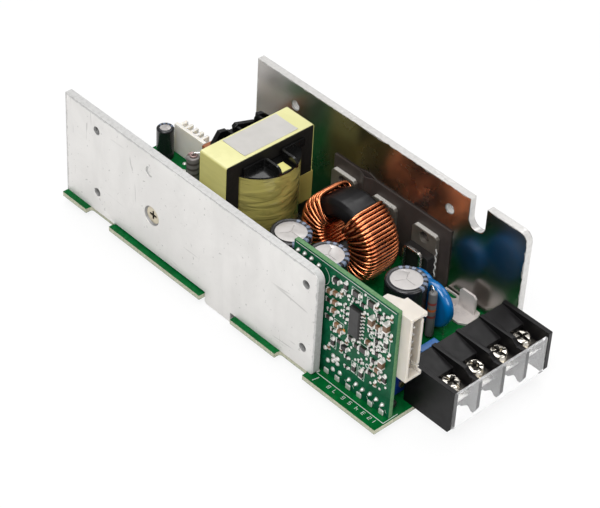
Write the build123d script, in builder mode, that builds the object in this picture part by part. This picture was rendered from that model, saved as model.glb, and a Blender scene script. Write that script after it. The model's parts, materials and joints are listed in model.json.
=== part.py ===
from build123d import *
import math
import os

os.makedirs("parts", exist_ok=True)

# An open-frame switching power supply: one printed board between two aluminium heatsink plates.
# Drawing axes: X from the rear edge to the terminals, Y from the left plate's outer face to the
# right plate, Z up from the board's top face. Every number below is in those axes, in millimetres.

# Heatsink plates
PLATE_T = 2.5
PLATE_H = 36.4
INNER_GAP = 54.1
LEFT_X1 = 110.8
RIGHT_X0 = 22.9
RIGHT_X1 = 135.4
PLATE_CORNER_R = 3.2
PLATE_FOOT_R = 1.4
LEG_W = 11.2
LEFT_LEG_X0 = 64.5
RIGHT_LEG_X0 = 82.0
LEG_CORNER = 0.8
RELIEF_X0 = 23.0
RELIEF_H = 0.5
NOTCH_X = 116.55
NOTCH_R = 3.2
NOTCH_Z = 29.8
RIGHT_Y0 = PLATE_T + INNER_GAP
RIGHT_Y1 = RIGHT_Y0 + PLATE_T

# Tapped holes in the plates: M3 drawn at its tap drill, with a small lead-in
M3_TAP = 2.5
M4_TAP = 3.3
LEAD_IN = 0.25
BOLT_X0 = 14.65
BOLT_DX = 91.3
BOLT_Z0 = 7.35
BOLT_DZ = 23.0
RIGHT_BOLT_X0 = 40.3
RIGHT_BOLT_DX = 65.6
RIGHT_BOLT_Z = 28.3

# Main board
BOARD_T = 1.6
BOARD_X0 = 0.2
BOARD_X1 = 137.7
BOARD_CUT_X = 21.5
BOARD_CUT_Y = 46.5
TAB_OUT = 2.0
EDGE_SLOTS = ((11.5, 22.6, 0.5), (97.0, 108.6, 0.3))
SLOT_R = 0.9
LEG_FIT = 0.2
LEG_CLEAR = 2.0
LEAD_END = -3.6
LEAD_FIT = 0.1
LEAD_R = 0.3
PIN_R = 0.45

# Transformer: two cores on an upright bobbin
CORE_X = 52.65
CORE_Y = 29.85
CORE_L = 34.2
CORE_W = 11.8
CORE_BOTTOM = 1.6
CORE_TOP = 35.8
CORE_BACK = 4.9
CORE_POST_R = 5.4
CORE_WINDOW_R = 13.4
WINDING_R = 13.0
FLANGE_T = 0.6
FLANGE_R = 13.1
BOBBIN_BORE_R = 5.6
BOBBIN_TUBE_R = 6.6
RAIL_W = 24.0
COLLAR_T = 0.8
COLLAR_H = 2.8
COLLAR_GAP = 0.3
COLLAR_BEND = 0.9
COLLAR_ROUND = 2.0
# Lead collars about the core: side along X, the wall's far end, its wing's place, the wing's reach
COLLARS = (
    (1, -11.4, -2.9, 13.5),
    (1, 12.6, 3.6, 13.5),
    (-1, -11.4, -2.4, 12.0),
    (-1, 6.2, 0.9, 11.6),
    (-1, 12.6, 9.4, 11.6),
)
TAPE_T = 0.2
TAPE_W = 11.4
BELT_Z0 = 8.5
BELT_Z1 = 19.0
TRANSFORMER_PITCH = 4.0
TRANSFORMER_PINS = 6
PIN_ROW = 11.4

# Toroidal choke, its axis along Y
CHOKE_X = 84.6
CHOKE_Y = 38.95
CHOKE_Z = 14.85
CHOKE_OD = 26.9
CHOKE_ID = 14.5
CHOKE_H = 11.1
CHOKE_EDGE = 1.2
WIRE_R = 0.49
WIRE_GAP = 0.15
WIRE_SIDES = 6
PILE_SHARE = 0.9
TURN_PITCH = 5.3
LONG_TURNS = 24
SHORT_TURNS = 20
LONG_FROM = -62.0
SHORT_FROM = 127.0
TURN_CUT = 0.8
PILE_R = 10.4
CHOKE_LEG_Y = 3.6

# Upright electrolytic capacitors
BIG_CAP_AT = ((77.2, 21.5), (91.6, 22.6), (113.7, 32.2))
BIG_CAP_R = 6.25
BIG_CAP_OPEN = 4.8
BIG_CAP_H = 20.0
BIG_CAP_PITCH = 5.0
SMALL_CAP_AT = (6.2, 33.9)
SMALL_CAP_R = 2.8
SMALL_CAP_OPEN = 1.8
SMALL_CAP_H = 11.0
SMALL_CAP_PITCH = 2.5
SLEEVE_T = 0.25
BEAD_Z = 2.6
BEAD_R = 0.7
LIP_R = 0.6
CAN_Z0 = 0.1
VENT_L = 3.4
VENT_W = 0.3
VENT_D = 0.15
VENT_ARMS = 3
VENT_REACH = 3.8

# Upright resistors
REAR_RES_AT = (23.8, 30.2)
REAR_RES_R = 2.1
REAR_RES_TOP = 12.0
REAR_RETURN = (26.6, 33.4)
BAND_RES_AT = (120.3, 36.7)
BAND_RES_R = 1.3
BAND_RES_TOP = 17.2
BAND_RETURN = (118.6, 37.4)
RES_STAND = 1.0
RES_ROUND = 0.6
LOOP_UP = 1.2
LOOP_R = 0.7

# Ceramic discs, each in a plane of constant Y: centre X, plane Y, centre Z, radius
DISC_A = (116.8, 41.0, 8.5, 7.6)
DISC_B = (107.3, 46.0, 6.0, 5.6)
DISC_T = 3.4
DISC_ROUND = 0.42
DISC_LEAD = 5.0

# Trimmer, box capacitors and the diode
TRIMMER = (126.9, 131.5, 9.7, 19.2, 0.2, 9.8)
TRIMMER_SCREW_Y = 14.1
TRIMMER_SCREW_Z = 3.5
TRIMMER_SCREW_R = 1.1
TRIMMER_SCREW_L = 0.6
FILM_BOX = (128.5, 131.0, 22.3, 29.5, 0.2, 10.0)
ORANGE_BOX = (21.4, 24.2, 35.7, 45.2, 0.8, 12.2)
BOX_ROUND = 0.4
DIODE_X = 132.9
DIODE_Y = 8.2
DIODE_R = 1.3
DIODE_L = 4.2

# Rear header, five ways at 2.5 mm
HEADER_X0 = 6.0
HEADER_X1 = 20.0
HEADER_Y = 37.7
HEADER_D = 6.0
HEADER_H = 10.9
HEADER_BASE_H = 3.2
HEADER_WALL = 1.3
HEADER_PITCH = 2.5
HEADER_WAYS = 5
RIB_X0 = 7.6
RIB_W = 1.1
RIB_D = 2.8
HEADER_PIN_W = 0.64

# Daughter board and its side-entry header, eight ways at 2.5 mm
DAUGHTER_X0 = 96.4
DAUGHTER_X1 = 136.9
DAUGHTER_Y0 = 4.06
DAUGHTER_H = 38.5
DAUGHTER_PINS = 9
DAUGHTER_PIN_X0 = 99.0
DAUGHTER_PIN_DX = 4.4
JOINT_R = 0.9
SIGNAL_X0 = 128.2
SIGNAL_X1 = 140.4
SIGNAL_D = 6.1
SIGNAL_Z0 = 14.8
SIGNAL_L = 22.4
SIGNAL_WALL = 0.9
SIGNAL_FLOOR_X = 133.0
SIGNAL_STEP_X = 132.7
SIGNAL_STEP_D = 1.2
SIGNAL_BACK_D = 3.0
SIGNAL_PITCH = 2.5
SIGNAL_WAYS = 8
SIGNAL_SLOT = 0.7
SIGNAL_SLOT_IN = 2.5
SIGNAL_SLOT_L = 4.2
SIGNAL_PIN_IN = 1.5

# Control chip: sixteen leads at 1.27 mm
CHIP_X = 122.3
CHIP_Z = 26.0
CHIP_L = 9.9
CHIP_W = 3.9
CHIP_T = 1.4
CHIP_LIFT = 0.15
CHIP_PITCH = 1.27
CHIP_WAYS = 8
CHIP_SPAN = 6.0
CHIP_LEAD_W = 0.42
CHIP_LEAD_T = 0.25
CHIP_SHOULDER = 0.5

# Small parts on the daughter board in upright columns: X, first Z, step and count
SMALL_CHIP = (1.9, 1.1, 0.5)
SMALL_COLUMNS = (
    (113.9, 24.3, 3.1, 3),
    (115.9, 23.6, 2.1, 4),
    (130.5, 21.6, 2.7, 6),
    (118.8, 31.6, 2.4, 2),
    (127.6, 19.6, 2.5, 4),
    (125.2, 11.6, 2.3, 2),
)
# Larger chip capacitors standing up or lying across: X and Z, then their size
TALL_CHIP = (1.5, 2.9, 1.1)
TALL_AT = ((133.8, 31.7), (128.3, 30.6), (133.2, 18.1))
WIDE_CHIP = (2.1, 1.4, 0.9)
WIDE_AT = ((121.5, 35.2), (127.4, 35.4), (115.3, 20.1), (114.0, 12.8), (133.8, 25.3), (122.7, 9.1))
# Three-legged transistors: X and Z, then the moulding's size
TRIPLE_CHIP = (2.9, 1.3, 1.0)
TRIPLE_AT = ((113.9, 35.1), (118.8, 14.0))

# Power packages: body, tab and three leads each
PACK_W = 10.0
PACK_BODY_H = 9.2
PACK_TAB_T = 1.3
PACK_BODY_T = 3.2
PACK_H = 15.7
PACK_Z0 = 1.4
PACK_HOLE_R = 1.85
PACK_HOLE_DROP = 2.8
PACK_PITCH = 2.54
PACK_LEAD = 0.8
PACK_LEAD_T = 0.5
PACK_CUT = 1.0
RECTIFIER_X = (64.4, 81.7, 99.0)
SWITCH_X = (33.4, 47.0)

# Insulating sheets
SHEET_T = 0.3
SHEET_X0 = 59.0
SHEET_X1 = 107.9
SHEET_Z0 = 0.2
SHEET_Z1 = 21.2
BOW_X0 = 69.6
BOW_X1 = 76.5
BOW_D = 1.1
HUMP_X0 = 67.2
HUMP_X1 = 78.1
HUMP_X = 74.0
HUMP_H = 0.9

# Clamp screw and bar on the left plate, and the punched mark above it
SCREW_X = 40.2
SCREW_Z = 13.9
SCREW_R = 1.5
SCREW_HEAD_R = 2.8
SCREW_HEAD_T = 1.5
SCREW_TAPER = 40
HEAD_SINK = 0.1
BAR_L = 24.0
BAR_H = 7.0
BAR_T = 1.5
MARK_X = 39.1
MARK_Z = 29.6
MARK_R = 1.7
MARK_SHIFT = 1.1
MARK_D = 0.3

# Shunt link and output bracket
LINK_X0 = 95.9
LINK_X1 = 102.5
LINK_Y = 50.0
LINK_Z = 12.4
LINK_W = 1.2
LINK_T = 0.7
LINK_BEND = 1.4
BRACKET_T = 0.8
BRACKET_OUTLINE = (
    (108.4, 51.6),
    (108.4, 56.2),
    (114.3, 56.2),
    (123.0, 55.3),
    (124.0, 53.0),
    (124.0, 48.9),
    (121.8, 47.2),
    (119.2, 47.2),
)
BRACKET_SLOT = (111.4, 54.8, 4.6, 1.7)
BLADE_X0 = 116.2
BLADE_W = 6.3
BLADE_Y = 53.1
BLADE_TOP = 7.4
BLADE_CUT = 0.9
RIVET_AT = (115.2, 51.6)
RIVET_R = 1.1
RIVET_H = 0.7
RIVET_TAPER = 20
BRACKET_LEGS = ((112.0, 50.0), (121.6, 49.6))

# Terminal block, four ways
BLOCK_X0 = 134.0
BLOCK_X1 = 152.05
BLOCK_Y0 = 12.75
BAY_PITCH = 9.5
BAYS = 4
FIN_T = 1.55
BLOCK_H = 15.0
BODY_X1 = 145.4
FLOOR_Z = 8.6
ROOF_BACK_Z = 14.4
ROOF_FRONT_Z = 12.6
ROOF_X1 = 142.7
ROOF_T = 1.6
BACK_WALL = 1.6
END_CUT = (1.0, 1.7)
FIN_NOTCH = ((5.25, 1.1), (3.35, 2.9), (2.75, 2.8), (1.75, 1.8), (0.85, 1.8), (0.0, 3.7))
FIN_STEP = ((0.0, 1.3), (3.25, 1.6), (5.35, 0.0))
STRIP_T = 0.8
STRIP_W = 7.0
STRIP_X0 = 137.0
STRIP_X1 = 150.2
TERMINAL_X = 145.8
WASHER_L = 6.6
WASHER_T = 0.9
HEAD_R = 2.8
HEAD_H = 2.1
SHANK_R = 1.7
SHANK_L = 5.0
SLOT_W = 0.8
SLOT_D = 1.1
COVER_T = 0.8
COVER_Z0 = 2.2
COVER_Z1 = 15.0
COVER_Y1 = 49.4
COVER_IN = 0.2

# Whole object: the origin is the middle of its footprint, at the level of its trimmed leads
MID_X = (BLOCK_X1 + COVER_T) / 2
MID_Y = (RIGHT_Y1 - TAB_OUT) / 2
BASE = LEAD_END
CORNER = (Align.MIN, Align.MIN, Align.MIN)
ARC_DIP = 1 - math.sqrt(0.5)


def flat(z):
    """A level plane whose local axes are drawing X and Y."""
    return Plane(origin=(-MID_X, -MID_Y, z - BASE))


def side(y):
    """An upright plane along the object, local axes drawing X and Z, facing the left side."""
    return Plane(origin=(-MID_X, y - MID_Y, -BASE), x_dir=(1, 0, 0), z_dir=(0, -1, 0))


def end(x):
    """An upright plane across the object, local axes drawing Y and Z, facing the terminals."""
    return Plane(origin=(x - MID_X, -MID_Y, -BASE), x_dir=(0, 1, 0), z_dir=(1, 0, 0))


def block(x0, x1, y0, y1, z0, z1, mode=Mode.ADD):
    """A box between the given drawing coordinates, in the active part."""
    with Locations((x0 - MID_X, y0 - MID_Y, z0 - BASE)):
        return Box(x1 - x0, y1 - y0, z1 - z0, align=CORNER, mode=mode)


def finish(piece, name):
    """Names a piece and writes it to its own file."""
    piece.part.label = name
    export_step(piece.part, f"parts/{name}.step")


def pair(at, pitch):
    """Two lead points either side of a part's middle, along X."""
    return [(at[0] - pitch / 2, at[1]), (at[0] + pitch / 2, at[1])]


def package_leads(x, y):
    """The three lead points of one power package."""
    return [(x + i * PACK_PITCH, y) for i in (-1, 0, 1)]


TURN_IN = CHOKE_ID / 2 - WIRE_R - WIRE_GAP
TURN_OUT = CHOKE_OD / 2 + WIRE_R + WIRE_GAP
TURN_HALF = CHOKE_H / 2 + WIRE_R + WIRE_GAP
CHOKE_ENDS = [math.radians(a) for a in (LONG_FROM, SHORT_FROM + (SHORT_TURNS - 1) * TURN_PITCH)]
CHOKE_LEADS = [
    (CHOKE_X + TURN_OUT * math.cos(a), CHOKE_Y + s * CHOKE_LEG_Y) for a in CHOKE_ENDS for s in (-1, 1)
]
CHOKE_LEG_TOPS = [CHOKE_Z + TURN_OUT * math.sin(a) - 1.2 * WIRE_R for a in CHOKE_ENDS]
SWITCH_LEAD_Y = PLATE_T + SHEET_T + PACK_TAB_T + PACK_LEAD_T
RECTIFIER_LEAD_Y = RIGHT_Y0 - 2 * SHEET_T - PACK_TAB_T - PACK_LEAD_T
BLOCK_Y1 = BLOCK_Y0 + BAYS * BAY_PITCH + FIN_T
BAY_MID = [BLOCK_Y0 + (i + 0.5) * BAY_PITCH + FIN_T / 2 for i in range(BAYS)]
TRANSFORMER_ROW = [
    CORE_Y + (i - (TRANSFORMER_PINS - 1) / 2) * TRANSFORMER_PITCH for i in range(TRANSFORMER_PINS)
]
TRANSFORMER_AT = [(CORE_X + s * PIN_ROW, y) for s in (-1, 1) for y in TRANSFORMER_ROW]
HEADER_PIN_X = [RIB_X0 + (i + 0.5) * HEADER_PITCH for i in range(HEADER_WAYS)]
HEADER_PIN_Y = HEADER_Y + HEADER_WALL + RIB_D
HEADER_AT = [(x, HEADER_PIN_Y) for x in HEADER_PIN_X]
DISC_A_AT = pair((DISC_A[0], DISC_A[1]), 2 * DISC_LEAD)
DISC_B_AT = pair((DISC_B[0], DISC_B[1]), DISC_LEAD)
STRIP_AT = [(STRIP_X0 + STRIP_T / 2, y) for y in BAY_MID]
DAUGHTER_PIN_Y = DAUGHTER_Y0 - JOINT_R
DAUGHTER_AT = [(DAUGHTER_PIN_X0 + i * DAUGHTER_PIN_DX, DAUGHTER_PIN_Y) for i in range(DAUGHTER_PINS)]

SMALL_HOLES = (
    [p for at in BIG_CAP_AT for p in pair(at, BIG_CAP_PITCH)]
    + pair(SMALL_CAP_AT, SMALL_CAP_PITCH)
    + [REAR_RES_AT, REAR_RETURN, BAND_RES_AT, BAND_RETURN]
    + DISC_A_AT
    + DISC_B_AT
)
PIN_HOLES = TRANSFORMER_AT + HEADER_AT + [p for x in SWITCH_X for p in package_leads(x, SWITCH_LEAD_Y)]
PIN_HOLES += [p for x in RECTIFIER_X for p in package_leads(x, RECTIFIER_LEAD_Y)]
WIRE_HOLES = list(CHOKE_LEADS) + [(LINK_X0, LINK_Y), (LINK_X1, LINK_Y)] + list(BRACKET_LEGS) + STRIP_AT

# Main board: tabs on its left edge, cut away for the plate legs, the rear corner and every lead
with BuildPart() as main_board:
    with BuildSketch(flat(-BOARD_T)):
        with BuildLine():
            Polyline(
                (BOARD_X0, -TAB_OUT),
                (BOARD_X1, -TAB_OUT),
                (BOARD_X1, RIGHT_Y1),
                (BOARD_CUT_X, RIGHT_Y1),
                (BOARD_CUT_X, BOARD_CUT_Y),
                (BOARD_X0, BOARD_CUT_Y),
                close=True,
            )
        make_face()
        for x0, x1, depth in EDGE_SLOTS:
            with Locations(((x0 + x1) / 2, -TAB_OUT)):
                RectangleRounded(x1 - x0, 2 * (TAB_OUT + depth), SLOT_R, mode=Mode.SUBTRACT)
        with Locations((LEFT_LEG_X0 - LEG_FIT, -TAB_OUT - SLOT_R)):
            Rectangle(
                LEG_W + LEG_CLEAR + 2 * LEG_FIT,
                TAB_OUT + SLOT_R + PLATE_T + LEG_FIT,
                align=(Align.MIN, Align.MIN),
                mode=Mode.SUBTRACT,
            )
        with Locations((RIGHT_LEG_X0 - LEG_FIT, RIGHT_Y0 - LEG_FIT)):
            Rectangle(
                LEG_W + 2 * LEG_FIT,
                PLATE_T + 2 * LEG_FIT,
                align=(Align.MIN, Align.MIN),
                mode=Mode.SUBTRACT,
            )
    extrude(amount=BOARD_T)
    with BuildSketch(flat(0)):
        with Locations(*SMALL_HOLES):
            Circle(LEAD_R + LEAD_FIT)
        with Locations(*PIN_HOLES):
            Circle(PIN_R + LEAD_FIT)
        with Locations(*WIRE_HOLES):
            Circle(WIRE_R + LEAD_FIT)
    extrude(amount=-BOARD_T, mode=Mode.SUBTRACT)
finish(main_board, "main_board")

# Left heatsink: a flat plate with one leg through the board, four tapped holes and a screw seat
with BuildPart() as left_heatsink:
    with BuildSketch(side(0)):
        with BuildLine():
            Polyline(
                (0, 0),
                (0, PLATE_H),
                (LEFT_X1, PLATE_H),
                (LEFT_X1, 0),
                (LEFT_LEG_X0 + LEG_W, 0),
                (LEFT_LEG_X0 + LEG_W, LEAD_END),
                (LEFT_LEG_X0 + LEG_CORNER, LEAD_END),
                (LEFT_LEG_X0, LEAD_END + LEG_CORNER),
                (LEFT_LEG_X0, RELIEF_H),
                (RELIEF_X0, RELIEF_H),
                (RELIEF_X0, 0),
                close=True,
            )
        make_face()
    extrude(amount=-PLATE_T)
    front = left_heatsink.edges().filter_by(Axis.Y).group_by(Axis.X)[-1]
    fillet(front.sort_by(Axis.Z)[-1], PLATE_CORNER_R)
    front = left_heatsink.edges().filter_by(Axis.Y).group_by(Axis.X)[-1]
    fillet(front.sort_by(Axis.Z)[0], PLATE_FOOT_R)
    with Locations(side(0)):
        with Locations((BOLT_X0 + BOLT_DX / 2, BOLT_Z0 + BOLT_DZ / 2)):
            with GridLocations(BOLT_DX, BOLT_DZ, 2, 2):
                CounterSinkHole(M3_TAP / 2, M3_TAP / 2 + LEAD_IN, depth=PLATE_T)
        with Locations((SCREW_X, SCREW_Z)):
            CounterSinkHole(SCREW_R + LEAD_FIT, SCREW_HEAD_R + 2 * HEAD_SINK, depth=PLATE_T)
    with BuildSketch(side(0)):
        with Locations((MARK_X, MARK_Z)):
            Circle(MARK_R)
        with Locations((MARK_X + MARK_SHIFT, MARK_Z + MARK_SHIFT / 2)):
            Circle(MARK_R, mode=Mode.SUBTRACT)
    extrude(amount=-MARK_D, mode=Mode.SUBTRACT)
finish(left_heatsink, "left_heatsink")

# Right heatsink: the same plate further forward, with an open-topped screw notch
with BuildPart() as right_heatsink:
    with BuildSketch(side(RIGHT_Y0)):
        with BuildLine():
            Polyline(
                (RIGHT_X0, 0),
                (RIGHT_X0, PLATE_H),
                (RIGHT_X1, PLATE_H),
                (RIGHT_X1, 0),
                (RIGHT_LEG_X0 + LEG_W, 0),
                (RIGHT_LEG_X0 + LEG_W, LEAD_END),
                (RIGHT_LEG_X0, LEAD_END),
                (RIGHT_LEG_X0, 0),
                close=True,
            )
        make_face()
        with Locations((NOTCH_X, NOTCH_Z)):
            Circle(NOTCH_R, mode=Mode.SUBTRACT)
            Rectangle(2 * NOTCH_R, PLATE_H, align=(Align.CENTER, Align.MIN), mode=Mode.SUBTRACT)
        with Locations(*[(RIGHT_BOLT_X0 + i * RIGHT_BOLT_DX, RIGHT_BOLT_Z) for i in (0, 1)]):
            Circle(M4_TAP / 2, mode=Mode.SUBTRACT)
    extrude(amount=-PLATE_T)
    front = right_heatsink.edges().filter_by(Axis.Y).group_by(Axis.X)[-1]
    fillet(front.sort_by(Axis.Z)[-1], PLATE_CORNER_R)
finish(right_heatsink, "right_heatsink")


def package_body(x, y0, y1):
    """The moulded body of one power package, bevelled towards the air."""
    with BuildPart() as body:
        block(x - PACK_W / 2, x + PACK_W / 2, y0, y1, PACK_Z0, PACK_Z0 + PACK_BODY_H)
        chamfer(body.edges().filter_by(Axis.Y), BOX_ROUND)
    return body


def package_frame(x, y_back, inward):
    """The tab and leads of one power package; inward is the sign of Y away from the plate."""
    y0, y1 = sorted((y_back, y_back + inward * PACK_TAB_T))
    top = PACK_Z0 + PACK_H
    lead_y = y_back + inward * (PACK_TAB_T + PACK_LEAD_T)
    with BuildPart() as frame:
        block(x - PACK_W / 2, x + PACK_W / 2, y0, y1, PACK_Z0, top)
        chamfer(frame.edges().filter_by(Axis.Y).group_by(Axis.Z)[-1], PACK_CUT)
        with BuildSketch(side(y0)):
            with Locations((x, top - PACK_HOLE_DROP)):
                Circle(PACK_HOLE_R)
        extrude(amount=-PACK_TAB_T, mode=Mode.SUBTRACT)
        for lead_x, _ in package_leads(x, 0):
            lead = (lead_x - PACK_LEAD / 2, lead_x + PACK_LEAD / 2)
            block(*lead, lead_y - PACK_LEAD_T / 2, lead_y + PACK_LEAD_T / 2, LEAD_END, PACK_Z0)
    return frame


# Rectifiers against the right plate, over the two insulating sheets
RECTIFIER_BACK = RIGHT_Y0 - 2 * SHEET_T
RECTIFIER_FRONT = RECTIFIER_BACK - PACK_TAB_T
with BuildPart() as rectifier_packages:
    for x in RECTIFIER_X:
        add(package_body(x, RECTIFIER_FRONT - PACK_BODY_T, RECTIFIER_FRONT).part)
finish(rectifier_packages, "rectifier_packages")
with BuildPart() as rectifier_frames:
    for x in RECTIFIER_X:
        add(package_frame(x, RECTIFIER_BACK, -1).part)
finish(rectifier_frames, "rectifier_frames")

# Primary switches against the left plate
SWITCH_BACK = PLATE_T + SHEET_T
SWITCH_FRONT = SWITCH_BACK + PACK_TAB_T
with BuildPart() as switch_packages:
    for x in SWITCH_X:
        add(package_body(x, SWITCH_FRONT, SWITCH_FRONT + PACK_BODY_T).part)
finish(switch_packages, "switch_packages")
with BuildPart() as switch_frames:
    for x in SWITCH_X:
        add(package_frame(x, SWITCH_BACK, 1).part)
finish(switch_frames, "switch_frames")

# Pad under the switches, and the bar that one screw draws against them
with BuildPart() as switch_pad:
    pad_x = (SWITCH_X[0] - PACK_W / 2, SWITCH_X[1] + PACK_W / 2)
    block(*pad_x, PLATE_T, SWITCH_BACK, SHEET_Z0, PACK_Z0 + PACK_H)
    with BuildSketch(side(PLATE_T)):
        with Locations((SCREW_X, SCREW_Z)):
            Circle(SCREW_R + LEAD_FIT)
    extrude(amount=-SHEET_T, mode=Mode.SUBTRACT)
finish(switch_pad, "switch_pad")
with BuildPart() as clamp_bar:
    bar_y = SWITCH_FRONT + PACK_BODY_T
    bar_z = PACK_Z0 + PACK_BODY_H - BAR_H + PACK_BODY_H / 2
    block(SCREW_X - BAR_L / 2, SCREW_X + BAR_L / 2, bar_y, bar_y + BAR_T, bar_z, bar_z + BAR_H)
    with BuildSketch(side(bar_y)):
        with Locations((SCREW_X, SCREW_Z)):
            Circle(SCREW_R)
    extrude(amount=-BAR_T, mode=Mode.SUBTRACT)
finish(clamp_bar, "clamp_bar")
with BuildPart() as clamp_screw:
    with BuildSketch(side(HEAD_SINK)):
        with Locations((SCREW_X, SCREW_Z)):
            Circle(SCREW_HEAD_R)
    extrude(amount=-SCREW_HEAD_T, taper=SCREW_TAPER)
    with BuildSketch(side(HEAD_SINK)):
        with Locations((SCREW_X, SCREW_Z)):
            Circle(SCREW_R)
    extrude(amount=-(bar_y + BAR_T - HEAD_SINK))
    with BuildSketch(side(HEAD_SINK)):
        with Locations((SCREW_X, SCREW_Z)):
            Rectangle(2 * SCREW_R, SLOT_W)
            Rectangle(SLOT_W, 2 * SCREW_R)
    extrude(amount=-SLOT_D, mode=Mode.SUBTRACT)
finish(clamp_screw, "clamp_screw")

# Insulating sheets on the right plate: one with a raised edge, one bowed between two rectifiers
with BuildPart() as insulating_sheet:
    with BuildSketch(side(RIGHT_Y0 - SHEET_T)):
        with BuildLine():
            Spline(
                (HUMP_X0, SHEET_Z1),
                (HUMP_X, SHEET_Z1 + HUMP_H),
                (HUMP_X1, SHEET_Z1),
                tangents=((1, 0), (1, 0)),
            )
            Polyline(
                (HUMP_X1, SHEET_Z1),
                (SHEET_X1, SHEET_Z1),
                (SHEET_X1, SHEET_Z0),
                (SHEET_X0, SHEET_Z0),
                (SHEET_X0, SHEET_Z1),
                (HUMP_X0, SHEET_Z1),
            )
        make_face()
    extrude(amount=-SHEET_T)
finish(insulating_sheet, "insulating_sheet")
with BuildPart() as bowed_sheet:
    sheet_y = RIGHT_Y0 - SHEET_T
    bow_mid = (BOW_X0 + BOW_X1) / 2
    with BuildSketch(flat(SHEET_Z0)):
        with BuildLine():
            Line((SHEET_X0, sheet_y), (BOW_X0, sheet_y))
            Spline(
                (BOW_X0, sheet_y),
                (bow_mid, sheet_y - BOW_D),
                (BOW_X1, sheet_y),
                tangents=((1, 0), (1, 0)),
            )
            Line((BOW_X1, sheet_y), (SHEET_X1, sheet_y))
            Line((SHEET_X1, sheet_y), (SHEET_X1, sheet_y - SHEET_T))
            Line((SHEET_X1, sheet_y - SHEET_T), (BOW_X1, sheet_y - SHEET_T))
            Spline(
                (BOW_X1, sheet_y - SHEET_T),
                (bow_mid, sheet_y - BOW_D - SHEET_T),
                (BOW_X0, sheet_y - SHEET_T),
                tangents=((-1, 0), (-1, 0)),
            )
            Line((BOW_X0, sheet_y - SHEET_T), (SHEET_X0, sheet_y - SHEET_T))
            Line((SHEET_X0, sheet_y - SHEET_T), (SHEET_X0, sheet_y))
        make_face()
    extrude(amount=SHEET_Z1 - SHEET_Z0)
finish(bowed_sheet, "bowed_sheet")

# Shunt link: one flat strip bent into a square arch
with BuildPart() as shunt_link:
    with BuildLine(side(LINK_Y)) as arch:
        FilletPolyline(
            (LINK_X0, LEAD_END), (LINK_X0, LINK_Z), (LINK_X1, LINK_Z), (LINK_X1, LEAD_END), radius=LINK_BEND
        )
    with BuildSketch(flat(LEAD_END)):
        with Locations((LINK_X0, LINK_Y)):
            Rectangle(LINK_T, LINK_W - 2 * LEAD_FIT)
    sweep(path=arch.line)
finish(shunt_link, "shunt_link")

# Output bracket: a cropped plate on the board with an upright blade, two legs and a rivet
with BuildPart() as output_bracket:
    with BuildSketch(flat(0)):
        with BuildLine():
            Polyline(*BRACKET_OUTLINE, close=True)
        make_face()
        with Locations(BRACKET_SLOT[:2]):
            SlotOverall(*BRACKET_SLOT[2:], mode=Mode.SUBTRACT)
    extrude(amount=BRACKET_T)
    with BuildSketch(side(BLADE_Y)):
        with BuildLine():
            Polyline(
                (BLADE_X0, 0),
                (BLADE_X0, BLADE_TOP - BLADE_CUT),
                (BLADE_X0 + BLADE_CUT, BLADE_TOP),
                (BLADE_X0 + BLADE_W - BLADE_CUT, BLADE_TOP),
                (BLADE_X0 + BLADE_W, BLADE_TOP - BLADE_CUT),
                (BLADE_X0 + BLADE_W, 0),
                close=True,
            )
        make_face()
    extrude(amount=-BRACKET_T)
    with BuildSketch(flat(LEAD_END)):
        with Locations(*BRACKET_LEGS):
            Rectangle(BRACKET_T, BRACKET_T / 2)
    extrude(amount=-LEAD_END)
    with BuildSketch(flat(BRACKET_T)):
        with Locations(RIVET_AT):
            Circle(RIVET_R)
    extrude(amount=RIVET_H, taper=RIVET_TAPER)
finish(output_bracket, "output_bracket")

# Transformer cores: an E in section, its outer legs hollowed round the winding
CORE_MID_Z = (CORE_BOTTOM + CORE_TOP) / 2


def core_half(z_outer, z_joint):
    """One core half between its outer face and the joint at mid height."""
    inward = 1 if z_joint > z_outer else -1
    with BuildPart() as half:
        z0, z1 = sorted((z_outer, z_joint))
        block(CORE_X - CORE_W / 2, CORE_X + CORE_W / 2, CORE_Y - CORE_L / 2, CORE_Y + CORE_L / 2, z0, z1)
        with BuildSketch(flat(z_outer + inward * CORE_BACK)):
            with Locations((CORE_X, CORE_Y)):
                Circle(CORE_WINDOW_R)
                Circle(CORE_POST_R, mode=Mode.SUBTRACT)
        extrude(amount=z_joint - z_outer - inward * CORE_BACK, mode=Mode.SUBTRACT)
    return half


finish(core_half(CORE_TOP, CORE_MID_Z), "core_upper")
finish(core_half(CORE_BOTTOM, CORE_MID_Z), "core_lower")

# Bobbin: tube, two flanges, a pin rail on each side and the lead collars on the upper flange
FLANGE_LOW = CORE_BOTTOM + CORE_BACK
FLANGE_HIGH = CORE_TOP - CORE_BACK - FLANGE_T


def collar(s, away, gap, reach):
    """A wall along the core, turned outwards beside the gap where the leads come out."""
    wall = CORE_X + s * (CORE_W / 2 + COLLAR_GAP + COLLAR_T / 2)
    tip = CORE_X + s * reach
    with BuildPart() as guide:
        with BuildSketch(flat(FLANGE_HIGH + FLANGE_T)):
            with BuildLine():
                FilletPolyline(
                    (wall, CORE_Y + away), (wall, CORE_Y + gap), (tip, CORE_Y + gap), radius=COLLAR_BEND
                )
            trace(line_width=COLLAR_T)
        extrude(amount=COLLAR_H)
        outer = guide.faces().sort_by(Axis.X)[-1 if s > 0 else 0]
        fillet(outer.edges().sort_by(Axis.Z)[-1], COLLAR_ROUND)
    return guide


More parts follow.
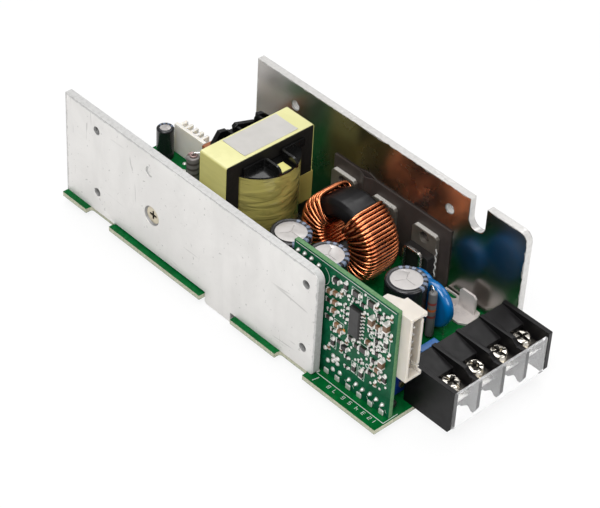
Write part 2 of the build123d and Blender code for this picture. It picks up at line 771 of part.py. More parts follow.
with BuildPart() as bobbin:
    with BuildSketch(flat(FLANGE_LOW)):
        with Locations((CORE_X, CORE_Y)):
            Circle(BOBBIN_TUBE_R)
    extrude(amount=FLANGE_HIGH + FLANGE_T - FLANGE_LOW)
    for z in (FLANGE_LOW, FLANGE_HIGH):
        with BuildSketch(flat(z)):
            with Locations((CORE_X, CORE_Y)):
                Circle(FLANGE_R)
        extrude(amount=FLANGE_T)
    for s in (-1, 1):
        x0, x1 = sorted((CORE_X + s * (CORE_W / 2 + SHEET_T), CORE_X + s * (PIN_ROW + PIN_R * 2)))
        block(x0, x1, CORE_Y - RAIL_W / 2, CORE_Y + RAIL_W / 2, 0.2, FLANGE_LOW)
    for placed in COLLARS:
        add(collar(*placed).part)
    with BuildSketch(flat(FLANGE_LOW)):
        with Locations((CORE_X, CORE_Y)):
            Circle(BOBBIN_BORE_R)
    extrude(amount=FLANGE_HIGH + FLANGE_T - FLANGE_LOW, mode=Mode.SUBTRACT)
    with BuildSketch(flat(LEAD_END)):
        with Locations(*TRANSFORMER_AT):
            Circle(PIN_R + LEAD_FIT)
    extrude(amount=FLANGE_LOW - FLANGE_T - LEAD_END, mode=Mode.SUBTRACT)
finish(bobbin, "bobbin")

with BuildPart() as transformer_winding:
    with BuildSketch(flat(FLANGE_LOW + FLANGE_T)):
        with Locations((CORE_X, CORE_Y)):
            Circle(WINDING_R)
            Circle(BOBBIN_TUBE_R, mode=Mode.SUBTRACT)
    extrude(amount=FLANGE_HIGH - FLANGE_LOW - FLANGE_T)
finish(transformer_winding, "transformer_winding")

# Yellow tapes: one over the top and down both ends, one round the lower half
with BuildPart() as core_tape:
    tape_x = (CORE_X - TAPE_W / 2, CORE_X + TAPE_W / 2)
    core_y = (CORE_Y - CORE_L / 2, CORE_Y + CORE_L / 2)
    block(*tape_x, core_y[0] - TAPE_T, core_y[1] + TAPE_T, CORE_BOTTOM, CORE_TOP + TAPE_T)
    block(*tape_x, *core_y, CORE_BOTTOM, CORE_TOP, mode=Mode.SUBTRACT)
finish(core_tape, "core_tape")
with BuildPart() as core_belt:
    belt_x = (CORE_X - CORE_W / 2, CORE_X + CORE_W / 2)
    belt_y = (core_y[0] - TAPE_T, core_y[1] + TAPE_T)
    block(belt_x[0] - TAPE_T, belt_x[1] + TAPE_T, belt_y[0] - TAPE_T, belt_y[1] + TAPE_T, BELT_Z0, BELT_Z1)
    block(*belt_x, *belt_y, BELT_Z0, BELT_Z1, mode=Mode.SUBTRACT)
    with BuildSketch(flat(BELT_Z0)):
        with Locations((CORE_X, CORE_Y)):
            Circle(CORE_WINDOW_R)
    extrude(amount=BELT_Z1 - BELT_Z0, mode=Mode.SUBTRACT)
finish(core_belt, "core_belt")


def pins(points, radius, top):
    """Round pins from the trimmed ends up to one height."""
    with BuildPart() as group:
        with BuildSketch(flat(LEAD_END)):
            with Locations(*points):
                Circle(radius)
        extrude(amount=top - LEAD_END)
    return group


finish(pins(TRANSFORMER_AT, PIN_R, FLANGE_LOW - FLANGE_T), "transformer_pins")

# Choke core: a ring with its edges broken
with BuildPart() as choke_core:
    with BuildSketch(side(CHOKE_Y - CHOKE_H / 2)):
        with Locations((CHOKE_X, CHOKE_Z)):
            Circle(CHOKE_OD / 2)
            Circle(CHOKE_ID / 2, mode=Mode.SUBTRACT)
    extrude(amount=-CHOKE_H)
    chamfer(choke_core.edges().filter_by(GeomType.CIRCLE), CHOKE_EDGE)
finish(choke_core, "choke_core")



def winding_turn(piled):
    """One closed turn about the ring's section; a piled turn lies over its neighbours at the bore."""
    lift = 2 * WIRE_R * piled
    bore = TURN_IN - lift
    rim = [
        (TURN_OUT, TURN_HALF - TURN_CUT),
        (TURN_OUT - TURN_CUT, TURN_HALF),
        (PILE_R, TURN_HALF + lift * PILE_SHARE),
        (bore + TURN_CUT, TURN_HALF + lift),
        (bore, TURN_HALF + lift - TURN_CUT),
    ]
    with BuildPart() as turn:
        with BuildLine(Plane.XZ) as loop:
            Polyline((TURN_OUT, 0), *rim, *[(r, -a) for r, a in reversed(rim)], close=True)
        with BuildSketch(Plane(origin=loop.line @ 0, x_dir=(1, 0, 0), z_dir=loop.line % 0)):
            RegularPolygon(WIRE_R, WIRE_SIDES)
        sweep(path=loop.line, transition=Transition.RIGHT)
    return turn


# Choke winding: two bundles of turns, every second turn piled on its neighbours at the bore
CHOKE_AXIS = Plane(
    origin=(CHOKE_X - MID_X, CHOKE_Y - MID_Y, CHOKE_Z - BASE), x_dir=(1, 0, 0), z_dir=(0, -1, 0)
)
with BuildPart() as choke_winding:
    for piled in (0, 1):
        turn = winding_turn(piled)
        for first, turns in ((LONG_FROM, LONG_TURNS), (SHORT_FROM, SHORT_TURNS)):
            copies = (turns + 1 - piled) // 2
            start = first + piled * TURN_PITCH
            with Locations(CHOKE_AXIS):
                with PolarLocations(0, copies, start_angle=start, angular_range=2 * TURN_PITCH * copies):
                    add(turn.part)
    for number, (x, y) in enumerate(CHOKE_LEADS):
        with BuildSketch(flat(LEAD_END)):
            with Locations((x, y)):
                RegularPolygon(WIRE_R, WIRE_SIDES)
        extrude(amount=CHOKE_LEG_TOPS[number // 2] - LEAD_END)
finish(choke_winding, "choke_winding")


def capacitor_can(at, radius, height, pitch):
    """An aluminium can with its bead and two leads."""
    with BuildPart() as can:
        with BuildSketch(flat(CAN_Z0)):
            with Locations(at):
                Circle(radius - SLEEVE_T)
        extrude(amount=height - CAN_Z0)
        rim = can.edges().filter_by(GeomType.CIRCLE).sort_by(Axis.Z)[-1]
        fillet(rim, LIP_R)
        with BuildSketch(flat(height)):
            with Locations(at):
                with PolarLocations(radius / VENT_REACH, VENT_ARMS):
                    Rectangle(VENT_L * radius / BIG_CAP_R, VENT_W)
        extrude(amount=-VENT_D, mode=Mode.SUBTRACT)
        with BuildSketch(flat(LEAD_END)):
            with Locations(*pair(at, pitch)):
                Circle(LEAD_R)
        extrude(amount=CAN_Z0 - LEAD_END)
    return can


def capacitor_sleeve(at, radius, height, opening):
    """The printed sleeve, shrunk into the bead and turned in over the can's rim."""
    inner = radius - SLEEVE_T
    foot = (at[0] - MID_X, at[1] - MID_Y, -BASE)
    with BuildPart() as sleeve:
        with BuildSketch(Plane(origin=foot, x_dir=(1, 0, 0), z_dir=(0, -1, 0))):
            with BuildLine():
                Polyline((inner, CAN_Z0), (radius, CAN_Z0), (radius, BEAD_Z - BEAD_R))
                ThreePointArc(
                    (radius, BEAD_Z - BEAD_R), (radius - SLEEVE_T / 2, BEAD_Z), (radius, BEAD_Z + BEAD_R)
                )
                Polyline((radius, BEAD_Z + BEAD_R), (radius, height - LIP_R))
                ThreePointArc(
                    (radius, height - LIP_R),
                    (radius - LIP_R * ARC_DIP, height + SLEEVE_T - LIP_R * ARC_DIP),
                    (radius - LIP_R - SLEEVE_T, height + SLEEVE_T),
                )
                Polyline(
                    (radius - LIP_R - SLEEVE_T, height + SLEEVE_T),
                    (opening, height + SLEEVE_T),
                    (opening, height),
                    (inner - LIP_R, height),
                )
                ThreePointArc(
                    (inner - LIP_R, height),
                    (inner - LIP_R * ARC_DIP, height - LIP_R * ARC_DIP),
                    (inner, height - LIP_R),
                )
                Line((inner, height - LIP_R), (inner, CAN_Z0))
            make_face()
        revolve(axis=Axis(foot, (0, 0, 1)))
    return sleeve


for number, at in enumerate(BIG_CAP_AT, start=1):
    finish(capacitor_can(at, BIG_CAP_R, BIG_CAP_H, BIG_CAP_PITCH), f"capacitor_can_{number}")
    finish(capacitor_sleeve(at, BIG_CAP_R, BIG_CAP_H, BIG_CAP_OPEN), f"capacitor_sleeve_{number}")
finish(capacitor_can(SMALL_CAP_AT, SMALL_CAP_R, SMALL_CAP_H, SMALL_CAP_PITCH), "small_capacitor_can")
finish(capacitor_sleeve(SMALL_CAP_AT, SMALL_CAP_R, SMALL_CAP_H, SMALL_CAP_OPEN), "small_capacitor_sleeve")


def upright_resistor(at, radius, top):
    """A resistor body that stands on one end."""
    with BuildPart() as body:
        with BuildSketch(flat(RES_STAND)):
            with Locations(at):
                Circle(radius)
        extrude(amount=top - RES_STAND)
        fillet(body.edges().filter_by(GeomType.CIRCLE), RES_ROUND)
    return body


def resistor_wires(at, away, top):
    """The lower lead, and the upper lead bent over and back down to the board."""
    reach = math.dist(at, away)
    over = ((away[0] - at[0]) / reach, (away[1] - at[1]) / reach, 0)
    across = Plane(
        origin=(at[0] - MID_X, at[1] - MID_Y, -BASE), x_dir=over, z_dir=(over[1], -over[0], 0)
    )
    with BuildPart() as wires:
        with BuildSketch(flat(LEAD_END)):
            with Locations(at):
                Circle(LEAD_R)
        extrude(amount=RES_STAND - LEAD_END)
        with BuildLine(across) as route:
            FilletPolyline(
                (0, top), (0, top + LOOP_UP), (reach, top + LOOP_UP), (reach, LEAD_END), radius=LOOP_R
            )
        with BuildSketch(flat(top)):
            with Locations(at):
                Circle(LEAD_R)
        sweep(path=route.line)
    return wires


finish(upright_resistor(REAR_RES_AT, REAR_RES_R, REAR_RES_TOP), "rear_resistor")
finish(resistor_wires(REAR_RES_AT, REAR_RETURN, REAR_RES_TOP), "rear_resistor_wires")
finish(upright_resistor(BAND_RES_AT, BAND_RES_R, BAND_RES_TOP), "banded_resistor")
finish(resistor_wires(BAND_RES_AT, BAND_RETURN, BAND_RES_TOP), "banded_resistor_wires")


def ceramic_disc(x, y, z, radius):
    """A dipped ceramic disc, thin at its rim."""
    with BuildPart() as disc:
        with BuildSketch(side(y)):
            with Locations((x, z)):
                Circle(radius)
        extrude(amount=DISC_T / 2, both=True)
        fillet(disc.edges().filter_by(GeomType.CIRCLE), DISC_T * DISC_ROUND)
    return disc


finish(ceramic_disc(*DISC_A), "disc_capacitor_1")
finish(ceramic_disc(*DISC_B), "disc_capacitor_2")
with BuildPart() as disc_wires:
    for disc, reach in ((DISC_A, DISC_LEAD), (DISC_B, DISC_LEAD / 2)):
        sink = disc[2] - math.sqrt(disc[3] ** 2 - reach**2) - LEAD_FIT
        with BuildSketch(flat(LEAD_END)):
            with Locations(*pair(disc, 2 * reach)):
                Circle(LEAD_R)
        extrude(amount=sink - LEAD_END)
finish(disc_wires, "disc_wires")


def rounded_box(size):
    """A moulded box part with its upright edges and top rounded."""
    with BuildPart() as box:
        block(*size)
        fillet(box.edges().filter_by(Axis.Z) + box.faces().sort_by(Axis.Z)[-1].edges(), BOX_ROUND)
    return box


finish(rounded_box(TRIMMER), "trimmer_body")
with BuildPart() as trimmer_screw:
    with BuildSketch(end(TRIMMER[1])):
        with Locations((TRIMMER_SCREW_Y, TRIMMER_SCREW_Z)):
            Circle(TRIMMER_SCREW_R)
    extrude(amount=TRIMMER_SCREW_L)
    with BuildSketch(end(TRIMMER[1] + TRIMMER_SCREW_L)):
        with Locations((TRIMMER_SCREW_Y, TRIMMER_SCREW_Z)):
            Rectangle(3 * TRIMMER_SCREW_R, SLOT_W / 2, rotation=30)
    extrude(amount=-TRIMMER_SCREW_L / 2, mode=Mode.SUBTRACT)
finish(trimmer_screw, "trimmer_screw")
finish(rounded_box(FILM_BOX), "film_capacitor")
finish(rounded_box(ORANGE_BOX), "orange_capacitor")
with BuildPart() as board_diode:
    with BuildSketch(end(DIODE_X - DIODE_L / 2)):
        with Locations((DIODE_Y, DIODE_R)):
            Circle(DIODE_R)
    extrude(amount=DIODE_L)
    chamfer(board_diode.edges().filter_by(GeomType.CIRCLE), RES_ROUND / 2)
finish(board_diode, "board_diode")

# Rear header: a base, a tall lock wall and ribs between its square pins
with BuildPart() as rear_header:
    block(HEADER_X0, HEADER_X1, HEADER_Y, HEADER_Y + HEADER_D, 0, HEADER_BASE_H)
    block(HEADER_X0, HEADER_X1, HEADER_Y, HEADER_Y + HEADER_WALL, HEADER_BASE_H, HEADER_H)
    for i in range(HEADER_WAYS):
        x = RIB_X0 + i * HEADER_PITCH
        rib_y = (HEADER_Y + HEADER_WALL, HEADER_Y + HEADER_WALL + RIB_D)
        block(x - RIB_W / 2, x + RIB_W / 2, *rib_y, HEADER_BASE_H, HEADER_H)
    with BuildSketch(flat(0)):
        with Locations(*HEADER_AT):
            Rectangle(HEADER_PIN_W, HEADER_PIN_W)
    extrude(amount=HEADER_BASE_H, mode=Mode.SUBTRACT)
finish(rear_header, "rear_header")
with BuildPart() as rear_header_pins:
    with BuildSketch(flat(LEAD_END)):
        with Locations(*HEADER_AT):
            Rectangle(HEADER_PIN_W, HEADER_PIN_W)
    extrude(amount=HEADER_H - 2 * HEADER_WALL - LEAD_END)
    chamfer(rear_header_pins.faces().group_by(Axis.Z)[-1].edges(), LEAD_FIT)
finish(rear_header_pins, "rear_header_pins")

# Daughter board on edge, with its row of joints to the main board
DAUGHTER_Y1 = DAUGHTER_Y0 + BOARD_T
with BuildPart() as daughter_board:
    block(DAUGHTER_X0, DAUGHTER_X1, DAUGHTER_Y0, DAUGHTER_Y1, 0, DAUGHTER_H)
finish(daughter_board, "daughter_board")
with BuildPart() as daughter_joints:
    for x, _ in DAUGHTER_AT:
        block(x - JOINT_R, x + JOINT_R, DAUGHTER_Y0 - JOINT_R / 2, DAUGHTER_Y0, 0, 2 * JOINT_R)
finish(daughter_joints, "daughter_joints")

# Control chip: a bevelled body and two rows of bent leads
with BuildPart() as control_chip:
    body_y = DAUGHTER_Y0 - CHIP_LIFT
    block(
        CHIP_X - CHIP_W / 2,
        CHIP_X + CHIP_W / 2,
        body_y - CHIP_T,
        body_y,
        CHIP_Z - CHIP_L / 2,
        CHIP_Z + CHIP_L / 2,
    )
    chamfer(control_chip.faces().sort_by(Axis.Y)[0].edges(), CHIP_LEAD_T)
finish(control_chip, "control_chip")
with BuildPart() as control_chip_leads:
    for s in (-1, 1):
        for i in range(CHIP_WAYS):
            z = CHIP_Z + (i - (CHIP_WAYS - 1) / 2) * CHIP_PITCH
            up = (z - CHIP_LEAD_W / 2, z + CHIP_LEAD_W / 2)
            half = CHIP_W / 2
            root, knee, toe = (CHIP_X + s * v for v in (half, half + CHIP_SHOULDER, CHIP_SPAN / 2))
            shelf = body_y - CHIP_T / 2
            block(*sorted((root, knee)), shelf, shelf + CHIP_LEAD_T, *up)
            block(*sorted((knee, knee - s * CHIP_LEAD_T)), shelf, DAUGHTER_Y0, *up)
            block(*sorted((knee, toe)), DAUGHTER_Y0 - CHIP_LEAD_T, DAUGHTER_Y0, *up)
finish(control_chip_leads, "control_chip_leads")



def chip(x, z, size):
    """One surface-mounted part on the daughter board's outer face."""
    wide, tall, thick = size
    block(x - wide / 2, x + wide / 2, DAUGHTER_Y0 - thick, DAUGHTER_Y0, z - tall / 2, z + tall / 2)


# Chip capacitors and resistors, and two transistors
with BuildPart() as chip_parts:
    for x, z, step, count in SMALL_COLUMNS:
        for i in range(count):
            chip(x, z + i * step, SMALL_CHIP)
    for size, places in ((TALL_CHIP, TALL_AT), (WIDE_CHIP, WIDE_AT), (TRIPLE_CHIP, TRIPLE_AT)):
        for x, z in places:
            chip(x, z, size)
finish(chip_parts, "chip_parts")

# Signal header: one moulding lying against the daughter board, mouth towards the terminals
SIGNAL_Y0 = DAUGHTER_Y1
SIGNAL_Y1 = SIGNAL_Y0 + SIGNAL_D
SIGNAL_Z1 = SIGNAL_Z0 + SIGNAL_L
SIGNAL_PIN_Z = [
    SIGNAL_Z0 + SIGNAL_L / 2 + (i - (SIGNAL_WAYS - 1) / 2) * SIGNAL_PITCH for i in range(SIGNAL_WAYS)
]
SIGNAL_PIN_Y = SIGNAL_Y0 + SIGNAL_D / 2
with BuildPart() as signal_header:
    with BuildSketch(flat(SIGNAL_Z0)):
        with BuildLine():
            Polyline(
                (SIGNAL_X0, SIGNAL_Y0),
                (SIGNAL_X1, SIGNAL_Y0),
                (SIGNAL_X1, SIGNAL_Y1),
                (SIGNAL_STEP_X, SIGNAL_Y1),
                (SIGNAL_STEP_X, SIGNAL_Y1 - SIGNAL_STEP_D),
                (SIGNAL_X0, SIGNAL_Y1 - SIGNAL_BACK_D),
                close=True,
            )
        make_face()
    extrude(amount=SIGNAL_L)
    cavity = (SIGNAL_Y0 + SIGNAL_WALL, SIGNAL_Y1 - SIGNAL_WALL)
    block(
        SIGNAL_FLOOR_X,
        SIGNAL_X1,
        *cavity,
        SIGNAL_Z0 + SIGNAL_WALL,
        SIGNAL_Z1 - SIGNAL_WALL,
        mode=Mode.SUBTRACT,
    )
    slot = (SIGNAL_X1 - SIGNAL_SLOT_L, SIGNAL_X1, SIGNAL_Y1 - SIGNAL_WALL, SIGNAL_Y1)
    for z in (SIGNAL_Z0 + SIGNAL_SLOT_IN, SIGNAL_Z1 - SIGNAL_SLOT_IN - SIGNAL_SLOT):
        block(*slot, z, z + SIGNAL_SLOT, mode=Mode.SUBTRACT)
    with BuildSketch(end(SIGNAL_X0)):
        with Locations(*[(SIGNAL_PIN_Y, z) for z in SIGNAL_PIN_Z]):
            Rectangle(HEADER_PIN_W, HEADER_PIN_W)
    extrude(amount=SIGNAL_FLOOR_X - SIGNAL_X0, mode=Mode.SUBTRACT)
finish(signal_header, "signal_header")
with BuildPart() as signal_header_pins:
    with BuildSketch(end(SIGNAL_X0)):
        with Locations(*[(SIGNAL_PIN_Y, z) for z in SIGNAL_PIN_Z]):
            Rectangle(HEADER_PIN_W, HEADER_PIN_W)
    extrude(amount=SIGNAL_X1 - SIGNAL_PIN_IN - SIGNAL_X0)
finish(signal_header_pins, "signal_header_pins")

# Terminal block: end walls, barrier fins, sloping roofs and one body
FIN_Y = [BLOCK_Y0 + i * BAY_PITCH for i in range(BAYS + 1)]
with BuildPart() as terminal_block:
    block(BLOCK_X0, BODY_X1, BLOCK_Y0, BLOCK_Y1, 0, FLOOR_Z)
    with BuildSketch(side(BLOCK_Y0)):
        with BuildLine():
            Polyline(
                (BLOCK_X0, FLOOR_Z),
                (BLOCK_X0, ROOF_BACK_Z),
                (ROOF_X1, ROOF_FRONT_Z),
                (ROOF_X1, ROOF_FRONT_Z - ROOF_T),
                (BLOCK_X0 + BACK_WALL, ROOF_BACK_Z - ROOF_T),
                (BLOCK_X0 + BACK_WALL, FLOOR_Z),
                close=True,
            )
        make_face()
    extrude(amount=BLOCK_Y0 - BLOCK_Y1)
    for y in FIN_Y[1:-1]:
        with BuildSketch(side(y)):
            with BuildLine():
                Polyline(
                    (BLOCK_X0, 0),
                    (BODY_X1, 0),
                    (BODY_X1, FIN_NOTCH[0][1]),
                    *[(BLOCK_X1 - back, z) for back, z in FIN_NOTCH],
                    *[(BLOCK_X1 - back, BLOCK_H - drop) for back, drop in FIN_STEP],
                    (BLOCK_X0, BLOCK_H),
                    close=True,
                )
            make_face()
        extrude(amount=-FIN_T)
    for y in (FIN_Y[0], FIN_Y[-1]):
        with BuildSketch(side(y)):
            with BuildLine():
                Polyline(
                    (BLOCK_X0, 0),
                    (BLOCK_X1 - END_CUT[0], 0),
                    (BLOCK_X1, END_CUT[1]),
                    (BLOCK_X1, BLOCK_H),
                    (BLOCK_X0, BLOCK_H),
                    close=True,
                )
            make_face()
        extrude(amount=-FIN_T)
    for y in BAY_MID:
        slot_y = (y - STRIP_W / 2, y + STRIP_W / 2)
        block(STRIP_X0, STRIP_X0 + STRIP_T, *slot_y, 0, FLOOR_Z, mode=Mode.SUBTRACT)
        with BuildSketch(flat(FLOOR_Z)):
            with Locations((TERMINAL_X, y)):
                Circle(SHANK_R + LEAD_FIT)
        extrude(amount=-SHANK_L, mode=Mode.SUBTRACT)
finish(terminal_block, "terminal_block")

# Contact strips: flat in the bay, bent down through the body, narrowed to a solder leg
with BuildPart() as terminal_strips:
    for y in BAY_MID:
        half = STRIP_W / 2
        block(STRIP_X0, STRIP_X1, y - half, y + half, FLOOR_Z, FLOOR_Z + STRIP_T)
        block(STRIP_X0, STRIP_X0 + STRIP_T, y - half, y + half, 0, FLOOR_Z)
        block(STRIP_X0, STRIP_X0 + STRIP_T, y - STRIP_T / 2, y + STRIP_T / 2, LEAD_END, 0)
        with BuildSketch(flat(FLOOR_Z)):
            with Locations((TERMINAL_X, y)):
                Circle(SHANK_R)
        extrude(amount=STRIP_T, mode=Mode.SUBTRACT)
finish(terminal_strips, "terminal_strips")

WASHER_Z = FLOOR_Z + STRIP_T
with BuildPart() as terminal_washers:
    for y in BAY_MID:
        with BuildSketch(flat(WASHER_Z)):
            with Locations((TERMINAL_X, y)):
                RectangleRounded(WASHER_L, WASHER_L, BOX_ROUND)
                Circle(SHANK_R, mode=Mode.SUBTRACT)
        extrude(amount=WASHER_T)
finish(terminal_washers, "terminal_washers")

with BuildPart() as terminal_screws:
    for y in BAY_MID:
        with BuildSketch(flat(WASHER_Z + WASHER_T)):
            with Locations((TERMINAL_X, y)):
                Circle(HEAD_R)
        extrude(amount=HEAD_H)
        with BuildSketch(flat(WASHER_Z + WASHER_T)):
            with Locations((TERMINAL_X, y)):
                Circle(SHANK_R)
        extrude(amount=-SHANK_L)
    tops = terminal_screws.faces().group_by(Axis.Z)[-1]
    fillet(tops.edges(), HEAD_H / 3)
    with BuildSketch(flat(WASHER_Z + WASHER_T + HEAD_H)):
        with Locations(*[(TERMINAL_X, y) for y in BAY_MID]):
            Rectangle(2 * HEAD_R, SLOT_W)
            Rectangle(SLOT_W, HEAD_R)
    extrude(amount=-SLOT_D, mode=Mode.SUBTRACT)
finish(terminal_screws, "terminal_screws")

# Clear cover: a flat strip across the mouths of the bays
with BuildPart() as terminal_cover:
    block(BLOCK_X1, BLOCK_X1 + COVER_T, BLOCK_Y0 + COVER_IN, COVER_Y1, COVER_Z0, COVER_Z1)
finish(terminal_cover, "terminal_cover")
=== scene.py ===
"""Dresses an open frame switching power supply: board, heatsinks, wound parts and terminals.

The finishes come first, then the recipes and shapes that the sub-assemblies use, the sub-assemblies
themselves, and the studio round them.
"""
import json
import logging
import math
from dataclasses import dataclass, field
from enum import Enum
from random import Random
from typing import Iterable, Sequence

import bmesh
import bpy
from mathutils import Matrix, Vector


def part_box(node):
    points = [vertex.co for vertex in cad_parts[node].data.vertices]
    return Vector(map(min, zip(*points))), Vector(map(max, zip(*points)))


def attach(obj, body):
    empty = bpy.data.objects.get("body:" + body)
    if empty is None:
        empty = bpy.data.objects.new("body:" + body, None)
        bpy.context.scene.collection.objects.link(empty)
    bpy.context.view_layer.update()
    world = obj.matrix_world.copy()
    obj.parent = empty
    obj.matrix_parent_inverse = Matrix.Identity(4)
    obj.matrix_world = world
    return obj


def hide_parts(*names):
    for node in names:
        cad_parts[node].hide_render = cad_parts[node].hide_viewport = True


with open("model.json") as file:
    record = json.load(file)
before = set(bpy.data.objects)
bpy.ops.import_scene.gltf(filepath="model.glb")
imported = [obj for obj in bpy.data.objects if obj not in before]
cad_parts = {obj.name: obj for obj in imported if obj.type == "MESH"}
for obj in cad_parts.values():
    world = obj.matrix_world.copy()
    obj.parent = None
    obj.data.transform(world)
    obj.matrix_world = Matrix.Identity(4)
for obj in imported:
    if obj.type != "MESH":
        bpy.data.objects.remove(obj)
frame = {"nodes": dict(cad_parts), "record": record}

LOG = logging.getLogger("power_supply")
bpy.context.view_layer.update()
MM = 0.001
BLUR = 0.15  # How far one tone runs into the next, in millimetres.
Colour = tuple[float, float, float]
Flat = tuple[float, float]
Point = tuple[float, float, float]
Socket = bpy.types.NodeSocket
Material = bpy.types.Material
Mesh = bpy.types.Mesh
Node = bpy.types.Node


class Drawing:
    """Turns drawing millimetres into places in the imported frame.

    X runs from the left plate's rear edge to the terminals, Y from that plate's outer face to the
    right plate, and Z up from the main board's top face.
    """

    def __init__(self) -> None:
        """Reads the drawing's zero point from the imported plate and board."""
        plate_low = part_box("left_heatsink")[0]
        board_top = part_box("main_board")[1]
        self.zero = Vector((plate_low[0], plate_low[1], board_top[2]))

    def at(self, x: float, y: float, z: float) -> Vector:
        """Gives the place in metres of a drawing point in millimetres."""
        return self.zero + Vector((x, y, z)) * MM


DRAWING = Drawing()
SLOTS: dict[str, str] = {
    entry["node"]: entry["material_slot"] for entry in frame["record"]["subparts"]
}


class Axis(Enum):
    """The drawing's axes, as a Separate XYZ node numbers them."""

    X = 0
    Y = 1
    Z = 2


def wave(size: Flat, place: float) -> float:
    """Gives a sine wave's height at a place, from its greatest height and its pace."""
    return size[0] * math.sin(size[1] * place)


def middle_of(node: str) -> Vector:
    """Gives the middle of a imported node's box, in metres."""
    low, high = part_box(node)
    return (Vector(low) + Vector(high)) / 2


def placed(name: str, data: bpy.types.ID) -> bpy.types.Object:
    """Makes an object and puts it in the scene.

    Args:
        name: The object's name.
        data: Its mesh, lamp or camera.

    Returns:
        The object.
    """
    made = bpy.data.objects.new(name, data)
    bpy.context.scene.collection.objects.link(made)
    return made


def taken(holder: bpy.types.Object) -> Mesh:
    """Applies an object's modifiers and removes the object.

    Args:
        holder: The object.

    Returns:
        The mesh that its modifiers made.
    """
    graph = bpy.context.evaluated_depsgraph_get()
    mesh = bpy.data.meshes.new_from_object(holder.evaluated_get(graph))
    bpy.data.objects.remove(holder)
    return mesh


def opaque(value: object) -> object:
    """Gives a colour an alpha of 1, and anything else as it is."""
    return (*value, 1.0) if isinstance(value, tuple) else value


def shade(colour: Colour, share: float) -> Colour:
    """Gives a colour made darker or lighter by a share."""
    return (colour[0] * share, colour[1] * share, colour[2] * share)


class NodeWriter:
    """Writes nodes into a tree and fills their inputs."""

    tree: bpy.types.NodeTree

    def feed(self, target: Socket, value: object) -> None:
        """Gives an input its value.

        Args:
            target: The input.
            value: A number, a colour, a material, or a socket to link to it.
        """
        if isinstance(value, Socket):
            self.tree.links.new(value, target)
        else:
            target.default_value = value

    def node(self, kind: str, values: dict[str | int, object] | None = None, **settings: object) -> Node:
        """Adds a node.

        Args:
            kind: The node's type name.
            values: What goes into its inputs, by input name or number.
            **settings: The node's own settings.

        Returns:
            The new node.
        """
        made = self.tree.nodes.new(kind)
        for key, value in settings.items():
            setattr(made, key, value)
        for key, value in (values or {}).items():
            self.feed(made.inputs[key], value)
        return made


class Graph(NodeWriter):
    """A short way to write one material's node tree."""

    def __init__(self, name: str) -> None:
        """Starts an empty material with one Principled shader.

        Args:
            name: The material's name.
        """
        self.material = bpy.data.materials.new(name)
        self.material.use_nodes = True
        self.tree = self.material.node_tree
        self.tree.nodes.clear()
        self.out = self.tree.nodes.new("ShaderNodeOutputMaterial")
        self.shader = self.tree.nodes.new("ShaderNodeBsdfPrincipled")
        self.tree.links.new(self.shader.outputs[0], self.out.inputs[0])
        self.coords = self.tree.nodes.new("ShaderNodeTexCoord").outputs["Object"]

    def math(self, operation: str, a: object, b: object = 0.0, c: object = 0.0) -> Socket:
        """Adds a math node and gives its result."""
        return self.node("ShaderNodeMath", {0: a, 1: b, 2: c}, operation=operation).outputs[0]

    def along(self, axis: Axis, where: Socket | None = None) -> Socket:
        """Gives one coordinate, in metres."""
        return self.node("ShaderNodeSeparateXYZ", {0: where or self.coords}).outputs[axis.value]

    def place(self, centre: Vector, scale: Point = (1, 1, 1), turn: Point = (0, 0, 0)) -> Socket:
        """Gives Object coordinates about a centre.

        Args:
            centre: The point that becomes zero, in metres.
            scale: How far each axis is stretched.
            turn: The pattern's turn about each axis, in radians.

        Returns:
            The moved coordinates.
        """
        moved = self.node("ShaderNodeVectorMath", {0: self.coords, 1: tuple(centre)}, operation="SUBTRACT")
        return self.node("ShaderNodeMapping", {0: moved.outputs[0], "Rotation": turn, "Scale": scale}).outputs[0]

    def noise(
        self, scale: float, detail: float = 2.0, rough: float = 0.5, where: Socket | None = None,
        twist: float = 0.0,
    ) -> Socket:
        """Adds fractal noise.

        Args:
            scale: Features per metre.
            detail: Octaves.
            rough: How strong the fine octaves are.
            where: Coordinates, or None for Object coordinates.
            twist: Distortion.

        Returns:
            The noise value.
        """
        values = {"Scale": scale, "Detail": detail, "Roughness": rough, "Distortion": twist}
        return self.node("ShaderNodeTexNoise", {"Vector": where or self.coords, **values}).outputs[0]

    def ramp(self, value: object, low: float, high: float, ends: Flat = (0.0, 1.0)) -> Socket:
        """Maps a value from one range to another, smoothly and clamped.

        Args:
            value: The value, a number or a socket.
            low: Where its range starts.
            high: Where its range ends.
            ends: The results at the two ends.

        Returns:
            The mapped value.
        """
        limits = {"Value": value, "From Min": low, "From Max": high, "To Min": ends[0], "To Max": ends[1]}
        return self.node("ShaderNodeMapRange", limits, interpolation_type="SMOOTHSTEP").outputs[0]

    def within(self, value: Socket, low: float, high: float) -> Socket:
        """Gives 1 where a value lies between two limits, and 0 elsewhere."""
        return self.math("MULTIPLY", self.math("GREATER_THAN", value, low), self.math("LESS_THAN", value, high))

    def mix(self, share: object, a: object, b: object) -> Socket:
        """Mixes two colours; a Mix node has them in inputs 6 and 7, and their mix in output 2.

        Args:
            share: How much of the second colour there is, from 0 to 1.
            a: The first colour.
            b: The second colour.

        Returns:
            The mixed colour.
        """
        return self.node("ShaderNodeMix", {0: share, 6: opaque(a), 7: opaque(b)}, data_type="RGBA").outputs[2]

    def bump(self, height: object, depth: float, strength: float = 1.0) -> None:
        """Puts a height field on the shader's normal.

        Args:
            height: The heights, as shares of the depth.
            depth: How far a height of 1 stands out, in metres.
            strength: How strongly it shows.
        """
        made = self.node("ShaderNodeBump", {"Height": height, "Distance": depth, "Strength": strength})
        self.tree.links.new(made.outputs[0], self.shader.inputs["Normal"])

    def put(self, socket: str, value: object) -> None:
        """Fills one of the shader's inputs with a number, a colour or a socket."""
        self.feed(self.shader.inputs[socket], opaque(value))


